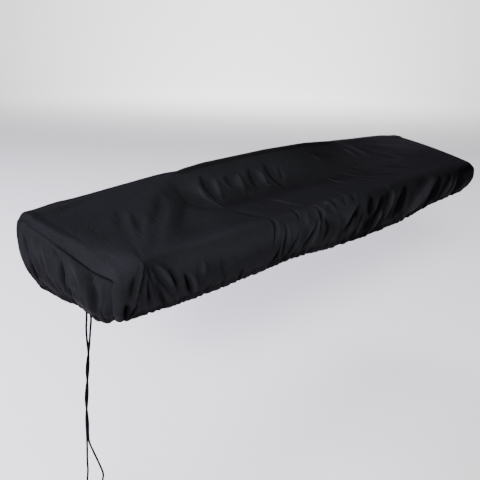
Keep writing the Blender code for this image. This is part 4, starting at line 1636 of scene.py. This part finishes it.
def floorPiece():
    # a wide disc whose rim curves up, so that no horizon shows
    turns = 96
    rise = np.linspace(0.0, studio["floorTurn"] * math.pi, 16)
    curve, flat = studio["floorCurve"], studio["floorRings"]
    reach = np.concatenate([flat, studio["floorRim"] + curve * np.sin(rise)])
    height = np.concatenate([np.zeros(len(flat)), curve * (1.0 - np.cos(rise))])
    angle = 2.0 * math.pi * np.arange(turns) / turns
    points = [
        (r * math.cos(a), r * math.sin(a), h + studio["floorHeight"])
        for r, h in zip(reach, height)
        for a in angle
    ]
    index = np.arange(len(points)).reshape(len(reach), turns)
    after = np.roll(index, -1, axis=1)
    faces = np.stack([index[:-1], index[1:], after[1:], after[:-1]], axis=2).reshape(-1, 4)
    data = bpy.data.meshes.new("floor")
    data.from_pydata(points, [], [index[0].tolist(), *faces.tolist()])
    data.shade_smooth()
    paper = Finish("paleFloor", {"Roughness": 0.9, "Base Color": studio["floorColour"]})
    return addPiece("floor", data, paper.material)


def studioWorld():
    # a plain room, lighter towards the left
    world = bpy.data.worlds.new("studio")
    world.use_nodes = True
    tree = world.node_tree
    place = Wire(tree, addNode(tree, "ShaderNodeTexCoord").outputs["Generated"])
    sockets = {0: place, 1: studio["roomAim"]}
    towards = nodeWire(tree, "ShaderNodeVectorMath", {"operation": "DOT_PRODUCT"}, sockets, "Value")
    sockets = dict(enumerate((towards, *studio["roomRange"])))
    shade = nodeWire(tree, "ShaderNodeMapRange", {"interpolation_type": "SMOOTHSTEP"}, sockets)
    tree.links.new(shade.socket, tree.nodes["Background"].inputs["Strength"])
    tree.nodes["Background"].inputs["Color"].default_value = (1.0, 1.0, 1.0, 1.0)
    bpy.context.scene.world = world


def photoCamera():
    turn, rise, tilt = studio["cameraTurn"], studio["cameraRise"], studio["cameraRoll"]
    back = Vector((math.sin(turn) * math.cos(rise), -math.cos(turn) * math.cos(rise), math.sin(rise)))
    right = (-back).cross(Vector((0, 0, 1))).normalized()
    up = right.cross(-back)
    rolledRight = math.cos(tilt) * right + math.sin(tilt) * up
    rolledUp = -math.sin(tilt) * right + math.cos(tilt) * up
    camera = inScene("camera", bpy.data.cameras.new("camera"))
    camera.data.sensor_width = studio["sensorWidth"]
    camera.data.lens = studio["focalPixels"] * studio["sensorWidth"] / studio["picturePixels"]
    axes = zip(rolledRight, rolledUp, back, studio["cameraPlace"])
    camera.matrix_world = Matrix([*axes, (0.0, 0.0, 0.0, 1.0)])
    bpy.context.scene.camera = camera


floor = floorPiece()
for lamp in lamps:
    softBox(*lamp)
studioWorld()
photoCamera()

panels = {"main_panel": mainCloth, "end_panel_left": endCloths[0], "end_panel_right": endCloths[1]}
for node, piece in panels.items():
    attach(piece, "root")
    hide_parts(node)
for letter, cord, knot, route in cordPieces:
    for piece, node in ((cord, "drawcord_"), (knot, "drawcord_knot_")):
        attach(piece, "root")
        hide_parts(node + letter)
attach(seamStitches, "root")
